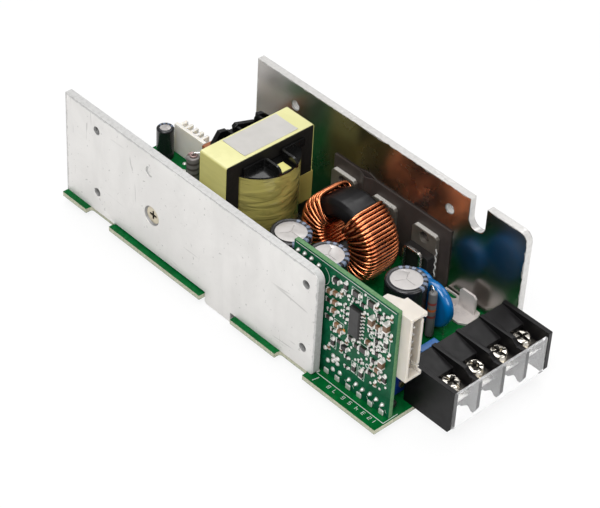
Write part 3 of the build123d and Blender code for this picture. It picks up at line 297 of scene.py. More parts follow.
@dataclass(frozen=True)
class Plastic:
    """A moulded or dipped plastic with a slight grain."""

    name: str
    colour: Colour
    roughness: float = 0.45
    grain: float = 0.00001
    mottle: float = 0.2
    coat: float = 0.0
    shine: float = 0.5
    depth: float = 0.0
    glow: float = 0.7
    glow_reach: Point = (1.0, 0.92, 0.75)

    def build(self) -> Material:
        """Makes the material; light goes as deep as its depth in metres, where it has one.

        Returns:
            The material.
        """
        g = Graph(self.name)
        g.put("Specular IOR Level", self.shine)
        if self.depth:
            g.put("Subsurface Weight", self.glow)
            g.put("Subsurface Scale", self.depth)
            g.feed(g.shader.inputs["Subsurface Radius"], self.glow_reach)
        cloud = g.ramp(g.noise(180, detail=3), 0.3, 0.7)
        g.put("Base Color", g.mix(cloud, self.colour, shade(self.colour, 1 - self.mottle)))
        ends = (self.roughness * 0.85, self.roughness * 1.15)
        g.put("Roughness", g.ramp(g.noise(420, detail=2), 0.3, 0.7, ends))
        g.put("Coat Weight", self.coat)
        g.bump(g.noise(2600, detail=3), depth=self.grain)
        return g.material


@dataclass(frozen=True)
class Metal:
    """A plain metal with faint blotches, a fine grain and, where it has a depth, painted shade past it."""

    name: str
    colour: Colour
    roughness: float = 0.3
    grain: float = 0.000004
    blotch: float = 0.12
    metallic: float = 1.0
    deep: float = 0.0
    recess_shade_tone: float = 0.12

    def build(self) -> Material:
        """Makes the material; past its depth behind the left plate's face, in millimetres, it has painted shade.

        Returns:
            The material.
        """
        g = Graph(self.name)
        blotches = g.ramp(g.noise(300, detail=4, rough=0.6), 0.45, 0.75)
        tone = g.mix(blotches, self.colour, shade(self.colour, 1 - 2 * self.blotch))
        # Painted shade: past the depth, down in the plate's pocket, the metal is darker.
        if self.deep:
            level = DRAWING.at(0, self.deep, 0).y
            dark = shade(self.colour, self.recess_shade_tone)
            tone = g.mix(g.ramp(g.along(Axis.Y), level, level + BLUR * MM), tone, dark)
        g.put("Base Color", tone)
        g.put("Metallic", self.metallic)
        g.put("Roughness", g.ramp(g.noise(500, detail=3), 0.3, 0.7, (self.roughness * 0.8, self.roughness * 1.3)))
        g.bump(g.noise(1800, detail=3), depth=self.grain)
        return g.material


@dataclass(frozen=True)
class MillPlate:
    """Mill-finished aluminium sheet with smudges, specks, scratches, worn sawn edges and painted shade in bores.
    """

    name: str
    node: str
    colour: Colour
    edge: Colour
    roughness: float
    metallic: float
    wear: float
    rolled: float = 0.00002
    rim: float = 0.9
    shaded_bores: tuple[Point, ...] = ()
    edge_metallic: float = 0.25
    skin: float = 0.2
    ragged: float = 1.6
    bore_shade_from: float = 0.12

    def build(self) -> Material:
        """Makes the material; each bore is a threaded hole with painted shade inside, as drawing X, Z and radius.

        Returns:
            The material.
        """
        g = Graph(self.name)
        rolled = g.noise(1700, detail=3, rough=0.6, where=g.place(DRAWING.zero, scale=(0.05, 1, 1)))
        cloud = g.noise(48, detail=5, rough=0.62, twist=0.6)
        smear = g.noise(120, detail=4, rough=0.6, where=g.place(DRAWING.zero, scale=(1.0, 1.0, 0.22)))
        wear = g.math("MULTIPLY", self.scratches(g), self.wear)
        base = g.mix(g.ramp(cloud, 0.36, 0.72), self.colour, shade(self.colour, 0.92))
        base = g.mix(g.math("MULTIPLY", g.ramp(smear, 0.45, 0.75), 0.6), base, shade(self.colour, 0.88))
        base = g.mix(wear, base, shade(self.colour, 0.34))
        sawn, worn = self.borders(g)
        grit = g.ramp(g.noise(900, detail=4, rough=0.7), 0.42, 0.66)
        base = g.mix(g.math("MULTIPLY", worn, 0.8), base, g.mix(grit, self.edge, shade(self.edge, 0.72)))
        base = g.mix(sawn, base, g.mix(g.math("MULTIPLY", grit, 0.5), self.edge, shade(self.edge, 0.7)))
        # Painted shade: inside the bores and the clamp screw's pocket the plate is darker below its faces.
        base = g.mix(self.holes(g), base, shade(self.edge, 0.62))
        g.put("Base Color", base)
        bare = g.math("SUBTRACT", 1.0, g.math("MAXIMUM", sawn, worn))
        g.put("Metallic", g.math("MULTIPLY_ADD", bare, self.metallic - self.edge_metallic, self.edge_metallic))
        g.put("Roughness", g.ramp(cloud, 0.3, 0.7, (self.roughness * 0.85, self.roughness * 1.2)))
        rough = g.math("MULTIPLY", g.math("MAXIMUM", sawn, worn), grit)
        g.bump(g.math("SUBTRACT", g.math("ADD", rolled, rough), wear), depth=self.rolled, strength=0.6)
        return g.material

    def scratches(self, g: Graph) -> Socket:
        """Finds where the face is nicked, scratched or specked.

        Args:
            g: The material's graph.

        Returns:
            The share of wear, from 0 to 1.
        """
        specks = g.ramp(g.noise(900, detail=2, rough=0.4), 0.70, 0.74)
        steep = g.place(DRAWING.zero, scale=(1.0, 1.0, 0.12), turn=(0.0, 0.75, 0.0))
        nick = g.noise(330, detail=2, rough=0.7, where=steep, twist=1.2)
        shallow = g.place(DRAWING.zero, scale=(0.10, 1.0, 1.0), turn=(0.0, 0.22, 0.0))
        scratch = g.noise(300, detail=2, rough=0.7, where=shallow, twist=0.8)
        lines = g.math("MAXIMUM", g.ramp(nick, 0.69, 0.73), g.ramp(scratch, 0.685, 0.73))
        patchy = g.math("MULTIPLY", lines, g.ramp(g.noise(70, detail=2), 0.43, 0.56))
        return g.math("MAXIMUM", specks, patchy)

    def borders(self, g: Graph) -> tuple[Socket, Socket]:
        """Finds the sawn edges, and the ragged worn band beside them on the faces.

        Args:
            g: The material's graph.

        Returns:
            The shares of sawn edge and of worn band, from 0 to 1.
        """
        low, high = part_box(self.node)
        depth = g.along(Axis.Y)
        sawn = g.within(depth, low[1] + self.skin * MM, high[1] - self.skin * MM)
        ragged = g.math("MULTIPLY", g.math("SUBTRACT", g.noise(420, detail=3, rough=0.6), 0.5), self.ragged * MM)
        width = self.rim * MM
        over = g.ramp(g.math("ADD", g.along(Axis.Z), ragged), high[2] - width, high[2] - 0.4 * width)
        ahead = g.ramp(g.math("ADD", g.along(Axis.X), ragged), high[0] - width, high[0] - 0.4 * width)
        behind = g.ramp(g.math("ADD", g.along(Axis.X), ragged), low[0] + 0.4 * width, low[0] + width, (1.0, 0.0))
        return sawn, g.math("MAXIMUM", over, g.math("MAXIMUM", ahead, behind))

    def holes(self, g: Graph) -> Socket:
        """Finds where the painted shade inside the bored holes goes, below the faces.

        Args:
            g: The material's graph.

        Returns:
            The share of painted shade, from 0 to 1.
        """
        total: object = 0.0
        low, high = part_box(self.node)
        below = g.within(g.along(Axis.Y), low[1] + self.bore_shade_from * MM, high[1] - self.bore_shade_from * MM)
        for x, z, radius in self.shaded_bores:
            spot = DRAWING.at(x, 0, z)
            aside = g.math("SUBTRACT", g.along(Axis.X), spot.x)
            above = g.math("SUBTRACT", g.along(Axis.Z), spot.z)
            far = g.math("SQRT", g.math("ADD", g.math("POWER", aside, 2.0), g.math("POWER", above, 2.0)))
            total = g.math("MAXIMUM", total, g.ramp(far, radius * MM, (radius + BLUR) * MM, (1.0, 0.0)))
        return g.math("MULTIPLY", total, below)


@dataclass(frozen=True)
class Laminate:
    """Circuit board: a coloured mask on both faces over a beige edge."""

    name: str
    mask: Colour
    edge: Colour
    low: float
    high: float
    axis: Axis = Axis.Z
    skin: float = 0.12
    shine: float = 0.10

    def build(self) -> Material:
        """Makes the material.

        Returns:
            The material.
        """
        g = Graph(self.name)
        depth = g.along(self.axis)
        inside = g.within(depth, self.low + self.skin * MM, self.high - self.skin * MM)
        weave = g.noise(1500, detail=2, rough=0.5)
        pour = g.node("ShaderNodeTexVoronoi", {"Vector": g.coords, "Scale": 260.0}, feature="DISTANCE_TO_EDGE")
        traces = g.ramp(pour.outputs[0], 0.05, 0.09, (0.75, 0.0))
        tone = g.mix(g.ramp(g.noise(160, detail=4, rough=0.6), 0.35, 0.7), self.mask, shade(self.mask, 0.62))
        tone = g.mix(traces, tone, shade(self.mask, 0.68))
        edge = g.mix(g.ramp(weave, 0.3, 0.7), self.edge, shade(self.edge, 0.75))
        g.put("Base Color", g.mix(inside, tone, edge))
        g.put("Roughness", g.math("MULTIPLY_ADD", inside, 0.35, 0.26))
        g.put("Specular IOR Level", self.shine)
        g.bump(g.math("ADD", weave, traces), depth=0.000018)
        return g.material


@dataclass(frozen=True)
class FilmTape:
    """Glossy yellow film tape, pale above a level and olive below: partly dark behind it, partly painted shade."""

    name: str
    pale: Colour
    deep: Colour
    level: float
    fade: float
    creases: float = 0.00002
    crease_shade: float = 0.10
    shine: float = 0.35

    def build(self) -> Material:
        """Makes the material; above its level the tape is pale.

        Returns:
            The material.
        """
        g = Graph(self.name)
        height = g.along(Axis.Z)
        sloped = g.place(DRAWING.zero, scale=(0.34, 0.46, 2.1), turn=(0.42, 0.30, 0.0))
        folds = g.noise(150, detail=3, rough=0.55, where=sloped, twist=1.2)
        # Partly painted shade: below the level the tape turns olive.
        tone = g.mix(g.ramp(height, self.level - self.fade, self.level), self.deep, self.pale)
        # Painted shade in the creases.
        tone = g.mix(g.ramp(folds, 0.44, 0.60, (0.0, self.crease_shade)), tone, shade(self.deep, 0.5))
        g.put("Base Color", tone)
        g.put("Roughness", 0.24)
        g.put("Coat Weight", self.shine)
        g.bump(folds, depth=self.creases)
        return g.material


@dataclass(frozen=True)
class EnamelledWire:
    """Bright copper under clear enamel, browner in patches."""

    name: str
    bright: Colour
    brown: Colour

    def build(self) -> Material:
        """Makes the material.

        Returns:
            The material.
        """
        g = Graph(self.name)
        g.put("Base Color", g.mix(g.ramp(g.noise(140, detail=2), 0.40, 0.75), self.bright, self.brown))
        g.put("Metallic", 1.0)
        g.put("Roughness", g.ramp(g.noise(260, detail=1), 0.3, 0.7, (0.20, 0.30)))
        g.put("Coat Weight", 0.3)
        g.put("Coat Roughness", 0.12)
        return g.material


@dataclass(frozen=True)
class Sleeve:
    """A shrunk black sleeve whose pale print shows on part of its rim and in one stripe below it."""

    name: str
    node: str
    print_at: float
    marks: int = 17
    rim: Flat = (1.25, 1.05)
    black: Colour = (0.009, 0.009, 0.011)
    pale: Colour = (0.12, 0.15, 0.215)

    def build(self) -> Material:
        """Makes the material for one capacitor; its print lies about an angle in degrees.

        Returns:
            The material.
        """
        g = Graph(self.name)
        local = g.place(middle_of(self.node))
        turn = g.math("ARCTAN2", g.along(Axis.Y, local), g.along(Axis.X, local))
        phase = g.math("SUBTRACT", turn, math.radians(self.print_at))
        beat = g.math("FRACT", g.math("MULTIPLY", phase, self.marks / math.tau))
        dashes = g.ramp(g.math("PINGPONG", beat, 0.5), 0.20, 0.27)
        height = g.along(Axis.Z)
        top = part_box(self.node)[1][2]
        rim = g.ramp(height, top - self.rim[0] * MM, top - self.rim[1] * MM)
        near = g.ramp(g.math("COSINE", phase), 0.05, 0.25)
        print_rim = g.math("MULTIPLY", g.math("MULTIPLY", dashes, rim), near)
        stripe = g.ramp(g.math("COSINE", phase), 0.90, 0.93)
        minus = g.ramp(g.math("PINGPONG", g.math("MULTIPLY", height, 260.0), 0.5), 0.20, 0.26)
        print_side = g.math("MULTIPLY", stripe, minus)
        share = g.math("MAXIMUM", print_rim, print_side)
        g.put("Base Color", g.mix(share, self.black, self.pale))
        g.put("Roughness", 0.26)
        g.bump(g.noise(700, detail=3), depth=0.00001)
        return g.material


@dataclass(frozen=True)
class Banded:
    """A dipped coat with coloured bands across one axis, given in drawing millimetres."""

    name: str
    colour: Colour
    axis: Axis
    bands: tuple[tuple[float, float, Colour], ...]
    roughness: float = 0.4

    def build(self) -> Material:
        """Makes the material.

        Returns:
            The material.
        """
        g = Graph(self.name)
        along = g.along(self.axis)
        zero = DRAWING.zero[self.axis.value]
        tone = g.mix(g.ramp(g.noise(260, detail=3), 0.3, 0.7), self.colour, shade(self.colour, 0.8))
        for low, high, band in self.bands:
            tone = g.mix(g.within(along, zero + low * MM, zero + high * MM), tone, band)
        g.put("Base Color", tone)
        g.put("Roughness", self.roughness)
        g.bump(g.noise(1900, detail=3), depth=0.000012)
        return g.material


@dataclass(frozen=True)
class TabMetal:
    """Tinned copper tabs: dull faces under a painted highlight along the top edge."""

    name: str
    node: str
    face: Colour
    # cut is the colour of the painted highlight on the top edge; lit is the band it covers, in mm below the top.
    cut: Colour
    lit: Flat = (0.5, 0.2)

    def build(self) -> Material:
        """Makes the material.

        Returns:
            The material.
        """
        g = Graph(self.name)
        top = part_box(self.node)[1][2]
        lit = g.ramp(g.along(Axis.Z), top - self.lit[0] * MM, top - self.lit[1] * MM)
        tone = g.mix(g.ramp(g.noise(240, detail=3), 0.35, 0.7), self.face, shade(self.face, 0.75))
        # Painted highlight: the top band is lighter and less metallic.
        g.put("Base Color", g.mix(lit, tone, self.cut))
        g.put("Metallic", g.math("MULTIPLY_ADD", lit, -0.5, 0.75))
        g.put("Roughness", g.ramp(g.noise(400, detail=2), 0.3, 0.7, (0.28, 0.42)))
        return g.material


@dataclass(frozen=True)
class ScrewSteel:
    """Plated screw heads in a row along Y, each with a cross recess painted near black as painted shade."""

    name: str
    colour: Colour
    head: Flat = (145.8, 18.275)
    step: float = 9.5
    slot: Flat = (0.62, 2.25)
    slim: float = 0.7
    lean: float = 0.5
    twist: float = 0.33
    face: Flat = (10.6, 10.9)

    def build(self) -> Material:
        """Makes the material.

        Returns:
            The material.
        """
        g = Graph(self.name)
        first = DRAWING.at(*self.head, 0)
        aside = g.math("SUBTRACT", g.along(Axis.X), first.x)
        along = g.math("ADD", g.math("SUBTRACT", g.along(Axis.Y), first.y), self.step / 2 * MM)
        bay = g.math("FLOOR", g.math("DIVIDE", along, self.step * MM))
        local = g.math("SUBTRACT", g.math("MULTIPLY_ADD", bay, -self.step * MM, along), self.step / 2 * MM)
        turn = g.math("MULTIPLY_ADD", bay, self.twist, self.lean)
        cos, sin = g.math("COSINE", turn), g.math("SINE", turn)
        u = g.math("ADD", g.math("MULTIPLY", aside, cos), g.math("MULTIPLY", local, sin))
        v = g.math("SUBTRACT", g.math("MULTIPLY", local, cos), g.math("MULTIPLY", aside, sin))
        half, reach = self.slot[0] * MM, self.slot[1] * MM
        arms = []
        for across, lengthwise, wide in ((u, v, half), (v, u, self.slim * half)):
            thin = g.ramp(g.math("ABSOLUTE", across), wide - 0.1 * MM, wide + 0.05 * MM, (1.0, 0.0))
            short = g.ramp(g.math("ABSOLUTE", lengthwise), reach - 0.2 * MM, reach, (1.0, 0.0))
            arms.append(g.math("MULTIPLY", thin, short))
        foot, top = (DRAWING.at(0, 0, level).z for level in self.face)
        high = g.ramp(g.along(Axis.Z), foot, top)
        recess_and_shade = g.math("MULTIPLY", g.math("MAXIMUM", *arms), high)
        tone = g.mix(g.ramp(g.noise(500, detail=3), 0.4, 0.75), self.colour, shade(self.colour, 0.7))
        # Painted shade: the cross recess is painted near black; its bump and roughness give it depth.
        g.put("Base Color", g.mix(recess_and_shade, tone, shade(self.colour, 0.06)))
        g.put("Metallic", 1.0)
        g.put("Roughness", g.math("MULTIPLY_ADD", recess_and_shade, 0.4, 0.2))
        g.bump(g.math("SUBTRACT", 1.0, recess_and_shade), depth=0.0002)
        return g.material


@dataclass(frozen=True)
class Clear:
    """Clear plastic with a faint milky haze."""

    name: str
    colour: Colour = (1.0, 1.0, 1.0)
    clearness: float = 0.86
    haze: float = 0.03
    roughness: float = 0.03
    bend: float = 1.12

    def build(self) -> Material:
        """Makes the material.

        Returns:
            The material.
        """
        g = Graph(self.name)
        g.put("Base Color", self.colour)
        g.put("Roughness", self.roughness)
        g.put("IOR", self.bend)
        ends = (self.clearness - self.haze, self.clearness + self.haze)
        g.put("Transmission Weight", g.ramp(g.noise(60, detail=2), 0.3, 0.7, ends))
        g.bump(g.noise(90, detail=2), depth=0.00002, strength=0.4)
        return g.material


def finishes() -> dict[str, Material]:
    """Builds one material for each slot of the record, and the finishes of the added pieces.

    Returns:
        The materials by name.
    """
    board_low, board_high = (corner[2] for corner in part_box("main_board"))
    upright_low, upright_high = (corner[1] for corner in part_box("daughter_board"))
    tape_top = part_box("core_tape")[1][2]
    red, orange, brown = (0.16, 0.02, 0.015), (0.34, 0.075, 0.012), (0.065, 0.05, 0.05)
    grey = (0.45, 0.45, 0.45)
    plates = HeatsinkPlates
    # Where the plates' bores and the screw's pocket get painted shade, as drawing X, Z and radius.
    left_bore_shade = tuple((x, z, plates.bolt_dark_r) for x in plates.bolt_x for z in plates.bolt_z)
    left_bore_shade += ((*plates.screw_at, plates.screw_dark_r),)
    right_bore_shade = tuple((x, plates.wide_bolt_z, plates.wide_dark_r) for x in plates.wide_bolt_x)
    made = [
        Laminate(
            "board_green", mask=(0.001, 0.118, 0.025), edge=(0.50, 0.50, 0.38), low=board_low, high=board_high,
        ),
        Laminate(
            "daughter_green", mask=(0.005, 0.102, 0.043), edge=(0.115, 0.23, 0.11), low=upright_low,
            high=upright_high, axis=Axis.Y,
        ),
        MillPlate(
            "left_plate_metal", "left_heatsink", colour=(0.715, 0.70, 0.68), edge=(0.47, 0.467, 0.46),
            roughness=0.50, metallic=0.25, wear=0.45, shaded_bores=left_bore_shade,
        ),
        MillPlate(
            "right_plate_metal", "right_heatsink", colour=(0.395, 0.375, 0.355), edge=(0.60, 0.59, 0.575),
            roughness=0.24, metallic=1.0, wear=0.10, rolled=0.000004, rim=0.45, shaded_bores=right_bore_shade,
        ),
        # This screw finish gets painted shade past 0.8 mm behind the left plate's face, down in the plate's
        # pocket.
        Metal("zinc_screw", (0.60, 0.54, 0.42), roughness=0.35, deep=0.8),
        Metal("spring_steel", (0.42, 0.43, 0.45), roughness=0.3),
        Plastic("grey_sheet", (0.048, 0.037, 0.033), roughness=0.5),
        Plastic("black_moulding", (0.011, 0.010, 0.010), roughness=0.42),
        Metal("tinned_metal", (0.72, 0.71, 0.69), roughness=0.26),
        Metal("bracket_metal", (0.68, 0.63, 0.60), roughness=0.42, metallic=0.4),
        # The tabs' cut colour is a painted highlight along their top edges.
        TabMetal("rectifier_metal", "rectifier_frames", face=(0.33, 0.30, 0.26), cut=(0.62, 0.60, 0.56)),
        TabMetal("switch_metal", "switch_frames", face=(0.33, 0.30, 0.26), cut=(0.62, 0.60, 0.56)),
        ScrewSteel("screw_steel", (0.68, 0.64, 0.57)),
        Plastic("ferrite", (0.006, 0.005, 0.004), roughness=0.6, shine=0.25),
        # Only the core tape's top is pale; its sides are olive, partly the dark core through the film, partly
        # painted shade.
        FilmTape(
            "yellow_tape", pale=(0.62, 0.60, 0.30), deep=(0.58, 0.545, 0.19), level=tape_top - 0.05 * MM,
            fade=0.5 * MM, shine=0.12,
        ),
        FilmTape("olive_tape", pale=(0.40, 0.32, 0.085), deep=(0.37, 0.30, 0.08), level=tape_top, fade=0.5 * MM),
        # The winding tape is darker towards the bottom, and its creases carry strong painted shade.
        FilmTape(
            "winding_tape", pale=(0.36, 0.315, 0.09), deep=(0.29, 0.25, 0.07), level=tape_top - 10 * MM,
            fade=8 * MM, creases=0.0007, crease_shade=0.55, shine=0.5,
        ),
        Plastic("paper_label", (0.43, 0.415, 0.395), roughness=0.6, mottle=0.06),
        Plastic("black_bobbin", (0.004, 0.004, 0.004), roughness=0.24, coat=0.2, shine=0.35),
        Plastic("choke_grey", (0.004, 0.0035, 0.004), roughness=0.34, shine=0.27),
        EnamelledWire("copper_wire", bright=(0.80, 0.27, 0.112), brown=(0.44, 0.115, 0.036)),
        Metal("can_aluminium", (0.45, 0.43, 0.42), roughness=0.42, metallic=0.7, blotch=0.05),
        Sleeve("black_sleeve", "capacitor_sleeve_3", print_at=80.0),
        Sleeve("sleeve_1", "capacitor_sleeve_1", print_at=40.0),
        Sleeve("sleeve_2", "capacitor_sleeve_2", print_at=62.0),
        Sleeve("sleeve_small", "small_capacitor_sleeve", print_at=130.0, marks=9),
        Plastic("grey_coat", (0.10, 0.10, 0.10), roughness=0.5),
        Banded(
            "rear_coat", (0.20, 0.18, 0.175), axis=Axis.Z,
            bands=((5.6, 6.4, brown), (7.6, 8.4, brown), (9.6, 10.4, brown)), roughness=0.35,
        ),
        Banded(
            "banded_coat", (0.115, 0.115, 0.115), axis=Axis.Z,
            bands=((8.2, 9.0, red), (10.6, 11.4, orange), (13.0, 13.8, red)),
        ),
        Plastic("blue_coat", (0.001, 0.125, 0.36), roughness=0.2, coat=0.5),
        Plastic("blue_plastic", (0.004, 0.035, 0.26), roughness=0.35),
        Plastic("pale_blue_plastic", (0.012, 0.11, 0.34), roughness=0.35),
        Metal("brass_screw", (0.70, 0.55, 0.28), roughness=0.3),
        Metal("tarnished_wire", (0.36, 0.25, 0.235), roughness=0.4, metallic=0.5),
        Plastic("orange_coat", (0.26, 0.075, 0.02), roughness=0.3),
        # Lit and shaded copies of one cream nylon: the signal header's is darkened as painted shade, the rear
        # header's kept light.
        Plastic("header_nylon", (0.565, 0.525, 0.47), roughness=0.4, mottle=0.08, depth=0.0018),
        Plastic("rear_nylon", (0.72, 0.69, 0.64), roughness=0.4, mottle=0.08, depth=0.0018),
        Plastic("ceramic_brown", (0.22, 0.115, 0.055), roughness=0.4, mottle=0.5),
        Plastic("resistor_black", (0.030, 0.022, 0.018), roughness=0.3, mottle=0.5),
        Banded("diode_black", (0.012, 0.011, 0.012), axis=Axis.X, bands=((131.2, 131.8, grey),)),
        Metal("solder", (0.80, 0.78, 0.75), roughness=0.34, metallic=0.55),
        Plastic("white_paste", (0.50, 0.49, 0.47), roughness=0.6),
        Plastic("board_print", (0.55, 0.60, 0.56), roughness=0.55),
        Plastic("terminal_black", (0.0045, 0.004, 0.0045), roughness=0.40, shine=0.24),
        Metal("bright_steel", (0.66, 0.62, 0.56), roughness=0.2),
        Plastic("orange_mark", (0.60, 0.22, 0.01), roughness=0.5),
        Clear("clear_cover"),
    ]
    return {finish.name: finish.build() for finish in made}


class Recipe(NodeWriter):
    """Writes one geometry node tree with named sizes and bakes what it makes."""

    def __init__(self, name: str) -> None:
        """Starts an empty tree.

        Args:
            name: The tree's name.
        """
        self.name = name
        self.tree = bpy.data.node_groups.new(name, "GeometryNodeTree")
        for way in ("INPUT", "OUTPUT"):
            self.tree.interface.new_socket("Geometry", in_out=way, socket_type="NodeSocketGeometry")
        self.start = self.tree.nodes.new("NodeGroupInput")
        self.end = self.tree.nodes.new("NodeGroupOutput")
        self.values: dict[str, float | int] = {}

    def size(self, name: str, value: float | int) -> Socket:
        """Adds a named input.

        Args:
            name: The input's name.
            value: What it is set to.

        Returns:
            Its socket inside the tree.
        """
        kind = "NodeSocketInt" if isinstance(value, int) else "NodeSocketFloat"
        made = self.tree.interface.new_socket(name, in_out="INPUT", socket_type=kind)
        self.values[made.identifier] = value
        return self.start.outputs[name]

    def bake(self, seeds: Mesh, shape: Socket, look: Material, smooth: bool = True) -> Mesh:
        """Ends the tree, runs it on a mesh of points or edges and gives a plain mesh.

        Args:
            seeds: The mesh that the tree works on.
            shape: The geometry that the tree made.
            look: The material of the whole result.
            smooth: Whether its faces are shaded smooth.

        Returns:
            The baked mesh.
        """
        solid = self.node("GeometryNodeRealizeInstances", {0: shape}).outputs[0]
        shaded = self.node("GeometryNodeSetShadeSmooth", {0: solid, "Shade Smooth": smooth}).outputs[0]
        dressed = self.node("GeometryNodeSetMaterial", {"Geometry": shaded, "Material": look}).outputs[0]
        self.tree.links.new(dressed, self.end.inputs[0])
        holder = placed(self.name, seeds)
        modifier = holder.modifiers.new("shape", "NODES")
        modifier.node_group = self.tree
        for key, value in self.values.items():
            modifier[key] = value
        return taken(holder)


def points_mesh(points: Iterable[Vector]) -> Mesh:
    """Makes a mesh of loose points.

    Args:
        points: Their places, in metres.

    Returns:
        The mesh.
    """
    mesh = bpy.data.meshes.new("points")
    mesh.from_pydata([tuple(point) for point in points], [], [])
    return mesh


def path_mesh(paths: Iterable[Sequence[Vector]]) -> Mesh:
    """Makes a mesh of open edge runs, one for each path.

    Args:
        paths: The points of each run, in metres.

    Returns:
        The mesh.
    """
    corners: list[tuple[float, ...]] = []
    edges: list[tuple[int, int]] = []
    for path in paths:
        first = len(corners)
        corners.extend(tuple(point) for point in path)
        edges.extend((index, index + 1) for index in range(first, len(corners) - 1))
    mesh = bpy.data.meshes.new("path")
    mesh.from_pydata(corners, edges, [])
    return mesh


def wires(name: str, paths: Iterable[Sequence[Vector]], radius: float, look: Material, sides: int = 10) -> Mesh:
    """Runs round wire along paths.

    Args:
        name: The tree's name.
        paths: Points of each wire, in metres.
        radius: The wire's radius, in metres.
        look: Its material.
        sides: Faces round the wire.

    Returns:
        The wires as one mesh.
    """
    recipe = Recipe(name)
    thick = recipe.size("Wire radius", radius)
    round_faces = recipe.size("Sides", sides)
    curve = recipe.node("GeometryNodeMeshToCurve", {0: recipe.start.outputs[0]})
    profile = recipe.node("GeometryNodeCurvePrimitiveCircle", {"Resolution": round_faces, "Radius": thick})
    tube = recipe.node(
        "GeometryNodeCurveToMesh",
        {"Curve": curve.outputs[0], "Profile Curve": profile.outputs[0], "Fill Caps": True},
    )
    return recipe.bake(path_mesh(paths), tube.outputs[0], look)


def blocks(name: str, points: Iterable[Vector], size: Vector, look: Material) -> Mesh:
    """Puts one small block at each point.

    Args:
        name: The tree's name.
        points: Middles of the blocks, in metres.
        size: Their size, in metres.
        look: Their material.

    Returns:
        The blocks as one mesh.
    """
    recipe = Recipe(name)
    sides = [recipe.size(label, value) for label, value in zip(("Length", "Width", "Height"), size)]
    joined = recipe.node("ShaderNodeCombineXYZ", dict(enumerate(sides)))
    block = recipe.node("GeometryNodeMeshCube", {"Size": joined.outputs[0]})
    spread = recipe.node(
        "GeometryNodeInstanceOnPoints", {"Points": recipe.start.outputs[0], "Instance": block.outputs[0]}
    )
    return recipe.bake(points_mesh(points), spread.outputs[0], look, smooth=False)


@dataclass(frozen=True)
class Cone:
    """One kind of solder cone: its radius at the foot, its radius at the tip and its height, in mm."""

    foot: float
    tip: float
    height: float


def cones(name: str, points: Iterable[Vector], size: Cone, look: Material, turn: Vector) -> Mesh:
    """Puts one solder cone at each point.

    Args:
        name: The tree's name.
        points: Middles of the cones' feet, in metres.
        size: Their size.
        look: Their material.
        turn: The cones' turn about each axis, in radians.

    Returns:
        The cones as one mesh.
    """
    recipe = Recipe(name)
    shape = {
        "Vertices": recipe.size("Faces", 12),
        "Side Segments": recipe.size("Rings", 2),
        "Radius Top": recipe.size("Tip radius", size.tip * MM),
        "Radius Bottom": recipe.size("Foot radius", size.foot * MM),
        "Depth": recipe.size("Height", size.height * MM),
    }
    cone = recipe.node("GeometryNodeMeshCone", shape)
    spread = recipe.node(
        "GeometryNodeInstanceOnPoints",
        {"Points": recipe.start.outputs[0], "Instance": cone.outputs["Mesh"], "Rotation": tuple(turn)},
    )
    return recipe.bake(points_mesh(points), spread.outputs[0], look)


def bridge(shape: bmesh.types.BMesh, loops: Sequence[Sequence[bmesh.types.BMVert]], spans: int) -> None:
    """Joins runs of corners by faces, each run to the next and the last to the first.

    Args:
        shape: The shape that takes the faces.
        loops: The runs, all of one length.
        spans: How many faces lie along a run.
    """
    for here, after in zip(loops, [*loops[1:], loops[0]]):
        for index in range(spans):
            step = (index + 1) % len(here)
            shape.faces.new((here[index], here[step], after[step], after[index]))


def closed_mesh(shape: bmesh.types.BMesh, name: str) -> Mesh:
    """Turns a closed shape into a mesh with its faces outward, and frees the shape.

    Args:
        shape: The shape.
        name: The mesh's name.

    Returns:
        The mesh.
    """
    bmesh.ops.recalc_face_normals(shape, faces=shape.faces)
    mesh = bpy.data.meshes.new(name)
    shape.to_mesh(mesh)
    shape.free()
    return mesh


